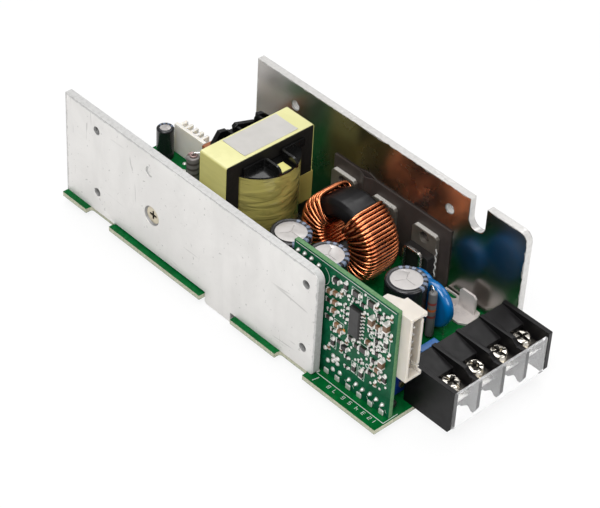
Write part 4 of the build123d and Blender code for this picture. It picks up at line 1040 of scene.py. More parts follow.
class Stock:
    """Collects plain shapes into one mesh."""

    LEVELS = 7
    LEVEL_STEP = 0.05
    RING_STEPS = 24

    def __init__(self) -> None:
        """Starts an empty mesh."""
        self.shape = bmesh.new()
        self.strokes = 0

    def box(self, low: Vector, high: Vector) -> None:
        """Adds a box between two corners."""
        middle, span = (low + high) / 2, high - low
        bmesh.ops.create_cube(self.shape, matrix=Matrix.Translation(middle) @ Matrix.Diagonal((*span, 1.0)))

    def stroke(self, start: Vector, stop: Vector, normal: Vector, width: float, thick: float) -> None:
        """Adds a thin flat line that lies on a face.

        Args:
            start: One end, in metres.
            stop: The other end.
            normal: The face's outward direction.
            width: The line's width, in metres.
            thick: How far it stands off the face, at least; neighbours differ, so that none share a plane.
        """
        self.strokes += 1
        thick *= 1 + self.LEVEL_STEP * (self.strokes % self.LEVELS)
        along = (stop - start).normalized()
        across = normal.cross(along) * (width / 2)
        reach = along * (width / 2)
        foot = [start - reach - across, stop + reach - across, stop + reach + across, start - reach + across]
        low = [self.shape.verts.new(point) for point in foot]
        high = [self.shape.verts.new(point + normal * thick) for point in foot]
        self.shape.faces.new(high)
        self.shape.faces.new(low[::-1])
        for index in range(len(foot)):
            after = (index + 1) % len(foot)
            self.shape.faces.new((low[index], low[after], high[after], high[index]))

    def ring(
        self, centre: Vector, across: Vector, up: Vector, radius: float, width: float, thick: float,
        span: Flat = (0.0, math.tau),
    ) -> None:
        """Adds a flat ring or arc that stands on a face.

        Args:
            centre: The ring's middle, in metres.
            across: The face's first direction.
            up: The face's second direction.
            radius: The ring's middle radius, in metres.
            width: How wide its band is.
            thick: How far it stands off the face.
            span: The angles between which it runs.
        """
        whole = math.isclose(span[1] - span[0], math.tau)
        count = self.RING_STEPS if whole else self.RING_STEPS + 1
        normal = across.cross(up)
        loops = []
        for reach, lift in ((-0.5, 0.0), (0.5, 0.0), (0.5, 1.0), (-0.5, 1.0)):
            loop = []
            for index in range(count):
                angle = span[0] + (span[1] - span[0]) * index / self.RING_STEPS
                out = across * math.cos(angle) + up * math.sin(angle)
                spot = centre + out * (radius + reach * width)
                loop.append(self.shape.verts.new(spot + normal * (lift * thick)))
            loops.append(loop)
        bridge(self.shape, loops, self.RING_STEPS)
        if not whole:
            self.shape.faces.new([loop[0] for loop in loops])
            self.shape.faces.new([loop[-1] for loop in reversed(loops)])

    def mesh(self, name: str) -> Mesh:
        """Gives the finished mesh with its faces outward."""
        return closed_mesh(self.shape, name)


@dataclass
class Assembly:
    """What every sub-assembly can do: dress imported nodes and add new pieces.

    Sizes and places in the fields are in drawing millimetres.
    """

    looks: dict[str, Material]
    pieces: list[str] = field(default_factory=list)
    weld: float = 0.002
    flat_angle: float = 0.6

    def enter(self, name: str, mesh: Mesh, look: str, slot: str, *nodes: str) -> bpy.types.Object:
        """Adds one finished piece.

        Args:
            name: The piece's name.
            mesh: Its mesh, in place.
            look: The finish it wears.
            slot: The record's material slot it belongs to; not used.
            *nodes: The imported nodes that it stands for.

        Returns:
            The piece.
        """
        piece = placed(name, mesh)
        mesh.materials.clear()
        mesh.materials.append(self.looks[look])
        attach(piece, "root")
        if nodes:
            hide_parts(*nodes)
        self.pieces.append(name)
        return piece

    def refine(
        self, node: str, bevel: float = 0.0, look: str | None = None, sharp: float = 32.0
    ) -> bpy.types.Object:
        """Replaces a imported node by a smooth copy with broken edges.

        Args:
            node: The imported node.
            bevel: The width of its broken edges, in millimetres, or 0 for none.
            look: Its finish, or None for its slot's own.
            sharp: The angle in degrees from which an edge stays sharp or is broken.

        Returns:
            The copy.
        """
        mesh = frame["nodes"][node].data.copy()
        shape = bmesh.new()
        shape.from_mesh(mesh)
        bmesh.ops.remove_doubles(shape, verts=shape.verts, dist=self.weld * MM)
        flat = math.radians(self.flat_angle)
        bmesh.ops.dissolve_limit(shape, angle_limit=flat, verts=shape.verts, edges=shape.edges)
        for face in shape.faces:
            face.smooth = True
        shape.to_mesh(mesh)
        shape.free()
        mesh.set_sharp_from_angle(angle=math.radians(sharp))
        if bevel:
            mesh = self.break_edges(node, mesh, bevel * MM, math.radians(sharp))
        return self.enter(f"{node}_dressed", mesh, look or SLOTS[node], SLOTS[node], node)

    @staticmethod
    def break_edges(name: str, mesh: Mesh, width: float, sharp: float) -> Mesh:
        """Rounds a mesh's sharp edges.

        Args:
            name: A name for the object that holds it meanwhile.
            mesh: The mesh.
            width: How wide the rounded edges are, in metres.
            sharp: The angle in radians from which an edge is rounded.

        Returns:
            The rounded mesh.
        """
        holder = placed(name, mesh)
        modifier = holder.modifiers.new("edges", "BEVEL")
        modifier.width = width
        modifier.segments = 2
        modifier.limit_method = "ANGLE"
        modifier.angle_limit = sharp
        modifier.harden_normals = True
        modifier.miter_outer = "MITER_ARC"
        return taken(holder)

    @staticmethod
    def cut(mesh: Mesh, tool: Mesh) -> Mesh:
        """Takes a closed tool shape out of a mesh.

        Args:
            mesh: The mesh.
            tool: The shape to take out of it.

        Returns:
            The cut mesh.
        """
        holder, cutter = placed("cut", mesh), placed("cut", tool)
        modifier = holder.modifiers.new("cut", "BOOLEAN")
        modifier.operation = "DIFFERENCE"
        modifier.object = cutter
        modifier.solver = "EXACT"
        result = taken(holder)
        bpy.data.objects.remove(cutter)
        LOG.info("cut: %d faces before, %d after", len(mesh.polygons), len(result.polygons))
        return result

    def build(self) -> None:
        """Makes the sub-assembly's pieces."""
        raise NotImplementedError

    def report(self) -> None:
        """Logs each piece that was made."""
        for name in self.pieces:
            LOG.info("%s: %s", type(self).__name__, name)


@dataclass
class HeatsinkPlates(Assembly):
    """The two aluminium plates, with the threads that show in their holes."""

    edge: float = 0.28
    plate_t: float = 2.5
    thread_pitch: float = 0.5
    thread_from: float = 0.45
    thread_steps: int = 18
    crest_r: float = 0.13
    crest_faces: int = 6
    bolt_r: float = 1.25
    # Three radii here give the painted shade inside the bores and the screw's pocket.
    bolt_dark_r: float = 1.6
    bolt_x: Flat = (14.65, 105.95)
    bolt_z: Flat = (7.35, 30.35)
    wide_bolt_x: Flat = (40.3, 105.9)
    wide_bolt_z: float = 28.3
    wide_bolt_r: float = 1.65
    wide_dark_r: float = 1.8
    right_y: float = 56.6
    screw_at: Flat = (40.2, 13.9)
    screw_dark_r: float = 3.2
    pocket_r: Flat = (3.35, 2.95)
    pocket_d: float = 0.75
    pocket_over: float = 0.3
    pocket_faces: int = 48

    def build(self) -> None:
        """Makes the plates and the threads."""
        plate = self.refine("left_heatsink", bevel=self.edge)
        plate.data = self.cut(plate.data, self.pocket())
        self.refine("right_heatsink", bevel=self.edge)
        left = [Vector((x, 0.0, z)) for x in self.bolt_x for z in self.bolt_z]
        right = [Vector((x, self.right_y, self.wide_bolt_z)) for x in self.wide_bolt_x]
        look = self.looks["left_plate_metal"]
        for side, spots, radius in (("left", left, self.bolt_r), ("right", right, self.wide_bolt_r)):
            routes = [self.thread(spot, radius) for spot in spots]
            mesh = wires(f"{side}_plate_threads", routes, self.crest_r * MM, look, self.crest_faces)
            self.enter(f"{side}_plate_threads", mesh, "left_plate_metal", f"{side}_plate_metal")

    def pocket(self) -> Mesh:
        """Makes the tool that widens the hole in which the clamp screw's head sits.

        Returns:
            The tool, a cone in place that stands a little out of the plate.
        """
        x, z = self.screw_at
        over = self.pocket_over
        slope = (self.pocket_r[0] - self.pocket_r[1]) / self.pocket_d
        shape = bmesh.new()
        bmesh.ops.create_cone(
            shape, cap_ends=True, segments=self.pocket_faces, radius1=self.pocket_r[1] * MM,
            radius2=(self.pocket_r[0] + slope * over) * MM, depth=(self.pocket_d + over) * MM,
        )
        middle = DRAWING.at(x, (self.pocket_d - over) / 2, z)
        move = Matrix.Translation(middle) @ Matrix.Rotation(math.pi / 2, 4, "X")
        bmesh.ops.transform(shape, matrix=move, verts=shape.verts)
        return closed_mesh(shape, "pocket")

    def thread(self, spot: Vector, radius: float) -> list[Vector]:
        """Follows one thread's crest along a bore.

        Args:
            spot: The bore's middle at the plate's outer side, in drawing millimetres.
            radius: The crest's radius, in millimetres.

        Returns:
            The crest's points, in metres.
        """
        turns = (self.plate_t - 2 * self.thread_from) / self.thread_pitch
        route = []
        for index in range(int(turns * self.thread_steps) + 1):
            turn = math.tau * index / self.thread_steps
            depth = self.thread_from + self.thread_pitch * index / self.thread_steps
            route.append(
                DRAWING.at(spot.x + radius * math.cos(turn), spot.y + depth, spot.z + radius * math.sin(turn))
            )
        return route


@dataclass
class Boards(Assembly):
    """The main board: its print, its solder joints below and its bare pads on top."""

    line_w: float = 0.22
    print_t: float = 0.03
    lines: tuple[tuple[Flat, ...], ...] = (
        ((110.6, 1.85), (137.3, 1.72), (137.2, 7.4)), ((112.0, -1.2), (112.4, 0.9)),
    )
    digit_w: float = 0.75
    digit_h: float = 1.15
    digit_line: float = 0.16
    digit_x: tuple[float, ...] = (135.5, 133.3, 130.8, 128.3, 125.5, 122.8, 119.4, 117.0)
    digit_y: float = -0.2
    leaded: tuple[str, ...] = (
        "transformer_pins", "choke_winding", "capacitor_can_1", "capacitor_can_2", "capacitor_can_3",
        "small_capacitor_can", "disc_wires", "banded_resistor_wires", "rear_resistor_wires", "rear_header_pins",
        "switch_frames", "rectifier_frames", "shunt_link", "terminal_strips", "output_bracket",
    )
    lead_through: float = 1.5
    joint_apart: float = 1.4
    sunk: float = 0.02
    joint: Cone = Cone(1.05, 0.45, 1.3)
    pad: Cone = Cone(0.75, 0.55, 0.35)
    pad_at: tuple[Flat, ...] = (
        (110.0, 2.6), (126.3, 45.4), (104.6, 54.8), (24.8, 14.6), (22.6, 20.4), (131.8, 6.4),
        (10.4, 38.6), (13.2, 36.0), (16.8, 38.2), (16.0, 33.4), (19.4, 35.0), (20.2, 39.6), (12.4, 41.6),
    )

    def build(self) -> None:
        """Makes the board and what is printed or soldered on it."""
        self.refine("main_board", bevel=0.08)
        self.enter("main_board_print", self.printing(), "board_print", "board_green")
        look, downward = self.looks["solder"], Vector((math.pi, 0, 0))
        joints = cones("joints_below", self.lead_feet(), self.joint, look, downward)
        self.enter("board_joints", joints, "solder", "solder")
        spots = [DRAWING.at(x, y, -self.sunk) for x, y in self.pad_at]
        self.enter("board_pads", cones("pads_above", spots, self.pad, look, Vector()), "solder", "solder")

    def lead_feet(self) -> list[Vector]:
        """Finds where leads come through the board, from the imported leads' lowest corners.

        Returns:
            The middles of the leads at the board's underside, in metres.
        """
        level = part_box("main_board")[0][2]
        groups: list[list[Vector]] = []
        for node in self.leaded:
            for corner in frame["nodes"][node].data.vertices:
                if corner.co.z > level - self.lead_through * MM:
                    continue
                spot = Vector((corner.co.x, corner.co.y, level + self.sunk * MM))
                near = [group for group in groups if (group[0] - spot).length < self.joint_apart * MM]
                if near:
                    near[0].append(spot)
                else:
                    groups.append([spot])
        return [sum(group, Vector()) / len(group) for group in groups]

    def printing(self) -> Mesh:
        """Draws the pale lines at the upright board's foot and a row of plain numbers.

        Returns:
            The print's mesh.
        """
        stock = Stock()
        for line in self.lines:
            for start, stop in zip(line, line[1:]):
                self.mark(stock, start, stop, self.line_w)
        for number, x in enumerate(self.digit_x, start=1):
            self.digit(stock, number, x)
        return stock.mesh("main_board_print")

    def mark(self, stock: Stock, start: Flat, stop: Flat, width: float) -> None:
        """Prints one line on the board's top.

        Args:
            stock: The mesh that takes it.
            start: One end, as drawing X and Y.
            stop: The other end.
            width: Its width, in millimetres.
        """
        ends = (DRAWING.at(*spot, 0) for spot in (start, stop))
        stock.stroke(*ends, Vector((0, 0, 1)), width * MM, self.print_t * MM)

    def digit(self, stock: Stock, number: int, x: float) -> None:
        """Draws one plain number from up to seven straight strokes, its top towards the board's edge.

        Args:
            stock: The mesh that takes the strokes.
            number: The number, from 1 to 8.
            x: Where its middle lies, in drawing millimetres.
        """
        left, right = x + self.digit_w / 2, x - self.digit_w / 2
        high, mid, low = self.digit_y, self.digit_y + self.digit_h / 2, self.digit_y + self.digit_h
        strokes = {
            "a": ((left, high), (right, high)),
            "b": ((right, mid), (right, high)),
            "c": ((right, low), (right, mid)),
            "d": ((left, low), (right, low)),
            "e": ((left, low), (left, mid)),
            "f": ((left, mid), (left, high)),
            "g": ((left, mid), (right, mid)),
        }
        lit = {1: "bc", 2: "abged", 3: "abgcd", 4: "fgbc", 5: "afgcd", 6: "afgecd", 7: "abc", 8: "abcdefg"}
        for key in lit[number]:
            self.mark(stock, *strokes[key], self.digit_line)


class Chip(Enum):
    """The kinds of small part on the upright board: finish, then width, height and depth in mm."""

    TAN = ("ceramic_brown", 1.9, 1.2, 1.0)
    BLACK = ("resistor_black", 1.9, 1.2, 0.5)
    TALL = ("ceramic_brown", 1.6, 2.9, 1.5)
    WIDE = ("resistor_black", 2.8, 1.8, 0.7)
    UPRIGHT = ("resistor_black", 1.3, 2.3, 0.6)
    LEGGED = ("black_moulding", 2.4, 1.4, 1.0)
    MINI = ("resistor_black", 1.25, 0.75, 0.4)
    SLIM = ("ceramic_brown", 0.75, 1.35, 0.55)


@dataclass
class ControlBoard(Assembly):
    """The upright board with its control chip and its crowd of small parts, placed by drawing X and Z."""

    face_y: float = 4.06
    chip_edge: float = 0.09
    end_w: float = 0.3
    tall_end_w: float = 0.5
    end_out: float = 0.04
    end_over: float = 0.08
    fillet_out: float = 0.2
    sunk: float = 0.02
    fillet: Cone = Cone(0.62, 0.25, 0.3)
    bare_pad: Cone = Cone(0.48, 0.30, 0.22)
    pin_joint: Cone = Cone(0.72, 0.30, 0.9)
    lobe: Cone = Cone(0.85, 0.42, 0.45)
    star_at: Flat = (115.3, 6.9)
    star: tuple[Flat, ...] = ((0.9, 0.9), (-0.9, 0.9), (0.9, -0.9), (-0.9, -0.9), (0.0, 0.0))
    loose: tuple[Flat, ...] = ((112.4, 4.8), (114.6, 2.9), (117.4, 3.4), (111.0, 8.6))
    orange_spot: tuple[Point, Point] = ((117.3, 18.9, 0.0), (118.1, 19.9, 0.12))
    print_t: float = 0.03
    top_line: tuple[Flat, Flat] = ((97.2, 38.0), (136.2, 37.8))
    top_line_w: float = 0.2
    frame_w: float = 0.16
    ring_r: float = 0.62
    ring_w: float = 0.34
    ring_t: float = 0.06
    arc_at: Flat = (107.4, 33.2)
    arc_r: float = 3.4
    arc: Flat = (-1.2, 1.1)
    tick_x: tuple[float, ...] = (119.6, 122.6, 125.2, 128.2, 130.6, 133.2, 135.4)
    tick_z: Flat = (2.3, 1.5)
    tick_lean: float = 0.5
    tick_w: float = 0.14
    chips: tuple[tuple[Chip, float, float], ...] = (
        (Chip.LEGGED, 113.9, 35.1), (Chip.LEGGED, 118.8, 14.0), (Chip.UPRIGHT, 117.4, 35.2),
        (Chip.TAN, 113.9, 30.6), (Chip.TAN, 113.9, 27.3), (Chip.TAN, 113.9, 24.3),
        (Chip.TAN, 111.6, 29.9), (Chip.BLACK, 111.4, 26.4), (Chip.BLACK, 111.6, 20.4),
        (Chip.WIDE, 121.5, 35.2), (Chip.WIDE, 127.4, 35.4), (Chip.TAN, 115.3, 20.1), (Chip.TAN, 116.6, 18.7),
        (Chip.UPRIGHT, 114.0, 12.8), (Chip.UPRIGHT, 133.8, 25.3), (Chip.UPRIGHT, 122.7, 9.1),
        (Chip.UPRIGHT, 125.5, 8.8), (Chip.WIDE, 125.7, 17.9), (Chip.BLACK, 122.9, 17.4), (Chip.BLACK, 120.6, 18.7),
        (Chip.TALL, 133.8, 31.7), (Chip.TALL, 128.3, 30.2), (Chip.TALL, 133.2, 18.1),
        (Chip.BLACK, 130.5, 33.2), (Chip.TAN, 130.6, 29.5), (Chip.BLACK, 130.5, 24.4), (Chip.BLACK, 130.9, 20.0),
        (Chip.TAN, 131.6, 14.6), (Chip.BLACK, 129.8, 16.6), (Chip.UPRIGHT, 134.4, 13.0), (Chip.BLACK, 116.4, 14.7),
        (Chip.TAN, 127.5, 22.0), (Chip.BLACK, 124.3, 33.0), (Chip.BLACK, 128.9, 11.6),
        (Chip.MINI, 132.9, 28.6), (Chip.MINI, 132.7, 27.3), (Chip.MINI, 130.4, 27.9), (Chip.MINI, 130.4, 26.4),
        (Chip.MINI, 132.6, 22.6), (Chip.MINI, 130.3, 22.9), (Chip.MINI, 130.2, 21.4), (Chip.MINI, 132.7, 34.8),
        (Chip.MINI, 130.7, 31.6), (Chip.MINI, 127.6, 27.8), (Chip.MINI, 127.6, 25.9), (Chip.MINI, 117.9, 32.6),
        (Chip.MINI, 121.2, 32.6), (Chip.MINI, 118.0, 24.2), (Chip.MINI, 118.0, 26.2), (Chip.MINI, 118.0, 28.2),
        (Chip.MINI, 124.9, 12.9), (Chip.MINI, 127.0, 11.2), (Chip.MINI, 119.6, 11.0), (Chip.MINI, 119.8, 7.4),
        (Chip.MINI, 128.0, 19.9), (Chip.MINI, 123.0, 19.4), (Chip.MINI, 113.6, 17.0), (Chip.MINI, 111.8, 23.0),
        (Chip.SLIM, 116.0, 31.9), (Chip.SLIM, 129.0, 14.2), (Chip.SLIM, 119.2, 16.4), (Chip.SLIM, 135.3, 28.7),
        (Chip.SLIM, 135.2, 21.7), (Chip.SLIM, 129.2, 35.6), (Chip.SLIM, 131.0, 9.0), (Chip.SLIM, 117.4, 12.2),
        (Chip.SLIM, 124.9, 29.9), (Chip.SLIM, 134.9, 35.2), (Chip.SLIM, 112.6, 10.2), (Chip.SLIM, 132.6, 11.9),
    )
    pads: tuple[Flat, ...] = (
        (115.4, 29.9), (115.8, 27.7), (116.2, 25.7), (115.9, 23.6), (118.6, 31.2), (119.9, 31.3), (117.6, 29.0),
        (130.3, 35.4), (130.8, 31.4), (132.6, 28.6), (130.5, 27.0), (132.4, 24.2), (130.2, 22.0), (132.2, 21.8),
        (127.9, 26.9), (127.3, 17.3), (123.7, 15.4), (122.8, 12.2), (125.1, 13.9), (129.2, 8.1), (134.8, 10.2),
        (132.7, 8.3), (119.7, 16.8), (116.1, 16.4), (129.1, 19.0), (127.0, 15.4), (132.6, 11.2), (113.4, 22.0),
        (129.5, 37.0), (126.0, 30.9), (128.6, 33.6), (120.9, 15.4), (118.0, 22.4), (112.4, 33.0), (124.6, 36.8),
    )
    rings: tuple[Flat, ...] = ((127.5, 13.1), (127.9, 24.3))
    joints: tuple[Flat, ...] = ((121.2, 3.7), (124.0, 4.0), (126.6, 3.8), (129.5, 4.2), (132.0, 4.0), (134.4, 3.7))
    pins: tuple[Flat, ...] = ((98.3, 35.9), (100.9, 36.2), (103.6, 36.2), (106.6, 35.7))
    framed: tuple[tuple[float, float, float, float], ...] = (
        (121.5, 35.2, 4.0, 2.8), (127.4, 35.4, 4.0, 2.8), (115.6, 19.6, 3.8, 3.4), (114.0, 12.8, 2.2, 4.2),
        (133.8, 25.3, 2.4, 4.4), (122.7, 9.1, 2.2, 4.0), (125.5, 8.8, 2.2, 4.0), (125.7, 17.9, 3.6, 3.0),
    )

    def at(self, x: float, z: float, out: float = 0.0) -> Vector:
        """Gives a place on the board's outer face, a distance out of it."""
        return DRAWING.at(x, self.face_y - out, z)

    def build(self) -> None:
        """Makes the board, the chip, the small parts, their solder and the print."""
        self.refine("daughter_board", bevel=0.06)
        self.refine("control_chip", bevel=0.05)
        self.refine("control_chip_leads", bevel=0.04, look="solder")
        self.refine("daughter_joints", bevel=0.3)
        self.small_parts()
        self.solder()
        self.enter("upright_board_print", self.printing(), "board_print", "daughter_green")

    def small_parts(self) -> None:
        """Makes the bodies and tinned ends of the chip parts, one piece of each kind."""
        for kind in Chip:
            finish, wide, tall, deep = kind.value
            label = kind.name.lower()
            spots = [(x, z) for chip, x, z in self.chips if chip is kind]
            upright = tall > wide
            size = Vector((wide, deep, tall)) * MM
            body = blocks(f"{label}_bodies", [self.at(x, z, deep / 2) for x, z in spots], size, self.looks[finish])
            body = self.break_edges(f"{label}_bodies", body, self.chip_edge * MM, math.radians(30))
            nodes = ("chip_parts",) if kind is Chip.TAN else ()
            self.enter(f"{label}_chips", body, finish, "ceramic_brown", *nodes)
            reach, over = (tall if upright else wide) / 2, self.end_over
            cap = self.tall_end_w if kind is Chip.TALL else min(self.end_w, reach / 2)
            ends = []
            for x, z in spots:
                for side in (-1, 1):
                    step = side * (reach - cap / 2 + self.end_out)
                    ends.append(self.at(x, z + step, deep / 2) if upright else self.at(x + step, z, deep / 2))
            size = Vector((wide + over, deep + over, cap) if upright else (cap, deep + over, tall + over)) * MM
            caps = blocks(f"{label}_ends", ends, size, self.looks["solder"])
            self.enter(f"{label}_chip_ends", caps, "solder", "solder")

    def solder(self) -> None:
        """Makes the chips' fillets, the bare pads, the pins' joints, the bright blobs and the orange spot."""
        fillets = []
        for kind, x, z in self.chips:
            _, wide, tall, _ = kind.value
            for side in (-1, 1):
                step = side * (max(tall, wide) / 2 + self.fillet_out)
                fillets.append((x, z + step) if tall > wide else (x + step, z))
        star = [(self.star_at[0] + dx, self.star_at[1] + dz) for dx, dz in self.star]
        rows = (
            ("chip_fillets", fillets, self.fillet),
            ("bare_pads", self.pads, self.bare_pad),
            ("pin_joints", self.joints + self.pins, self.pin_joint),
            ("star_joint", [*star, *self.loose], self.lobe),
        )
        look, outward = self.looks["solder"], Vector((math.pi / 2, 0, 0))
        for name, spots, size in rows:
            mesh = cones(name, [self.at(x, z, -self.sunk) for x, z in spots], size, look, outward)
            self.enter(name, mesh, "solder", "solder")
        spot = Stock()
        spot.box(*(self.at(*corner) for corner in self.orange_spot))
        self.enter("orange_spot", spot.mesh("orange_spot"), "orange_mark", "ceramic_brown")

    def printing(self) -> Mesh:
        """Draws the pale lines, frames and rings on the board's outer face.

        Returns:
            The print's mesh.
        """
        stock = Stock()
        out, across, up = Vector((0, -1, 0)), Vector((1, 0, 0)), Vector((0, 0, 1))
        thick, frame_w = self.print_t * MM, self.frame_w * MM
        start, stop = self.top_line
        stock.stroke(self.at(*start), self.at(*stop), out, self.top_line_w * MM, thick)
        for x, z, wide, tall in self.framed:
            corners = [(x + a * wide / 2, z + b * tall / 2) for a, b in ((-1, -1), (1, -1), (1, 1), (-1, 1))]
            for start, stop in zip(corners, corners[1:] + corners[:1]):
                stock.stroke(self.at(*start), self.at(*stop), out, frame_w, thick)
        for x, z in self.rings:
            stock.ring(self.at(x, z), across, up, self.ring_r * MM, self.ring_w * MM, self.ring_t * MM)
        stock.ring(self.at(*self.arc_at), across, up, self.arc_r * MM, frame_w, thick, self.arc)
        for x in self.tick_x:
            start, stop = self.at(x, self.tick_z[0]), self.at(x + self.tick_lean, self.tick_z[1])
            stock.stroke(start, stop, out, self.tick_w * MM, thick)
        return stock.mesh("upright_board_print")


@dataclass
class Transformer(Assembly):
    """The taped transformer: core halves, tape, winding, bobbin and its bare label."""

    label_x: Flat = (47.6, 57.3)
    label_y: Flat = (20.6, 41.6)
    label_z: float = 36.0
    label_t: float = 0.12
    label_cells: tuple[int, int] = (8, 14)
    label_curl: float = 0.14
    label_wave: float = 0.02
    label_sunk: float = 0.03
    tape_t: float = 0.2
    tape_r: float = 0.75
    tape_low_r: Flat = (0.3, 0.15)
    tape_steps: int = 6
    tongue_edge: float = 0.1
    tongue: tuple[Flat, Flat, Flat] = ((61.6, 65.3), (27.3, 31.9), (30.88, 31.25))
    ear_x: Flat = (41.0, 42.6)
    ear_edge: float = 0.22
    ears: tuple[tuple[Flat, ...], ...] = (
        ((21.4, 30.7), (24.3, 34.5), (27.1, 33.9), (29.4, 30.7)),
        ((30.4, 30.7), (29.9, 33.6), (31.0, 34.3), (38.6, 31.9), (38.6, 30.7)),
        ((39.0, 30.9), (39.4, 34.1), (41.6, 33.6), (44.2, 31.4), (43.4, 30.9)),
    )

    def build(self) -> None:
        """Makes the transformer's pieces."""
        self.refine("core_lower", bevel=0.25)
        self.refine("core_upper", bevel=1.0)
        self.enter("core_tape_dressed", self.tape(), "yellow_tape", "yellow_tape", "core_tape")
        self.refine("core_belt", bevel=0.15)
        self.refine("transformer_winding", bevel=0.2)
        self.refine("bobbin", bevel=0.25)
        ears = self.break_edges("bobbin_ears", self.rear_ears(), self.ear_edge * MM, math.radians(20))
        self.enter("bobbin_ears", ears, "black_bobbin", SLOTS["bobbin"])
        self.refine("transformer_pins")
        self.enter("bare_label", self.label(), "paper_label", "yellow_tape")
        stock = Stock()
        stock.box(*(DRAWING.at(*corner) for corner in zip(*self.tongue)))
        tongue = stock.mesh("tape_tongue")
        tongue = self.break_edges("tape_tongue", tongue, self.tongue_edge * MM, math.radians(30))
        self.enter("tape_tongue", tongue, "yellow_tape", "yellow_tape")

    def rear_ears(self) -> Mesh:
        """Makes the cheeks that close the rear collars, as closed slabs with slanted tops.

        Returns:
            The cheeks' mesh.
        """
        shape = bmesh.new()
        for outline in self.ears:
            near, far = ([shape.verts.new(DRAWING.at(x, y, z)) for y, z in outline] for x in self.ear_x)
            shape.faces.new(near)
            shape.faces.new(far[::-1])
            for index in range(len(outline)):
                after = (index + 1) % len(outline)
                shape.faces.new((near[index], near[after], far[after], far[index]))
        return closed_mesh(shape, "rear_ears")

    def tape(self) -> Mesh:
        """Makes the tape as a closed band round the core's two halves, with soft corners.

        Returns:
            The tape's mesh.
        """
        low, high = (Vector(corner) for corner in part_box("core_tape"))
        outer_r, inner_r = self.tape_low_r
        sides = ((outer_r, self.tape_r, 0.0), (inner_r, self.tape_r - self.tape_t, self.tape_t * MM))
        shape = bmesh.new()
        rings = []
        for lower_r, upper_r, inset in sides:
            ring = []
            corners = (
                (low.y, low.z, lower_r, math.pi), (high.y, low.z, lower_r, 1.5 * math.pi),
                (high.y, high.z, upper_r, 0.0), (low.y, high.z, upper_r, 0.5 * math.pi),
            )
            for y, z, radius, start in corners:
                r = radius * MM
                side_y = 1 if y == low.y else -1
                side_z = 1 if z == low.z else -1
                centre = Vector((y + side_y * (r + inset), z + side_z * (r + inset)))
                for step in range(self.tape_steps + 1):
                    angle = start + math.pi / 2 * step / self.tape_steps
                    ring.append((centre.x + r * math.cos(angle), centre.y + r * math.sin(angle)))
            rings.append(ring)
        loops = [
            [shape.verts.new((x, y, z)) for y, z in ring]
            for ring, x in ((rings[0], low.x), (rings[0], high.x), (rings[1], high.x), (rings[1], low.x))
        ]
        bridge(shape, loops, len(loops[0]))
        for face in shape.faces:
            face.smooth = True
        mesh = closed_mesh(shape, "core_tape")
        mesh.set_sharp_from_angle(angle=math.radians(40))
        return mesh

    def label(self) -> Mesh:
        """Makes the label as a closed sheet that lies on the tape with its corners slightly proud.

        Returns:
            The label's mesh.
        """
        columns, rows = self.label_cells
        shape = bmesh.new()
        grid: list[list[list[bmesh.types.BMVert]]] = []
        for level in (0, 1):
            sheet = []
            for i in range(columns + 1):
                line = []
                for j in range(rows + 1):
                    x = self.label_x[0] + (self.label_x[1] - self.label_x[0]) * i / columns
                    y = self.label_y[0] + (self.label_y[1] - self.label_y[0]) * j / rows
                    corner = abs(2 * i / columns - 1) ** 4 * abs(2 * j / rows - 1) ** 6
                    ripple = self.label_wave * math.sin(0.9 * y) * math.cos(0.6 * x)
                    lift = level * self.label_t + self.label_curl * corner + ripple - self.label_sunk * (1 - level)
                    line.append(shape.verts.new(DRAWING.at(x, y, self.label_z + max(lift, -self.label_sunk))))
                sheet.append(line)
            grid.append(sheet)
        low, high = grid
        for i in range(columns):
            for j in range(rows):
                shape.faces.new((high[i][j], high[i + 1][j], high[i + 1][j + 1], high[i][j + 1]))
                shape.faces.new((low[i][j], low[i][j + 1], low[i + 1][j + 1], low[i + 1][j]))
        for i in range(columns):
            for j in (0, rows):
                shape.faces.new((low[i][j], low[i + 1][j], high[i + 1][j], high[i][j]))
        for j in range(rows):
            for i in (0, columns):
                shape.faces.new((low[i][j], low[i][j + 1], high[i][j + 1], high[i][j]))
        return closed_mesh(shape, "label")


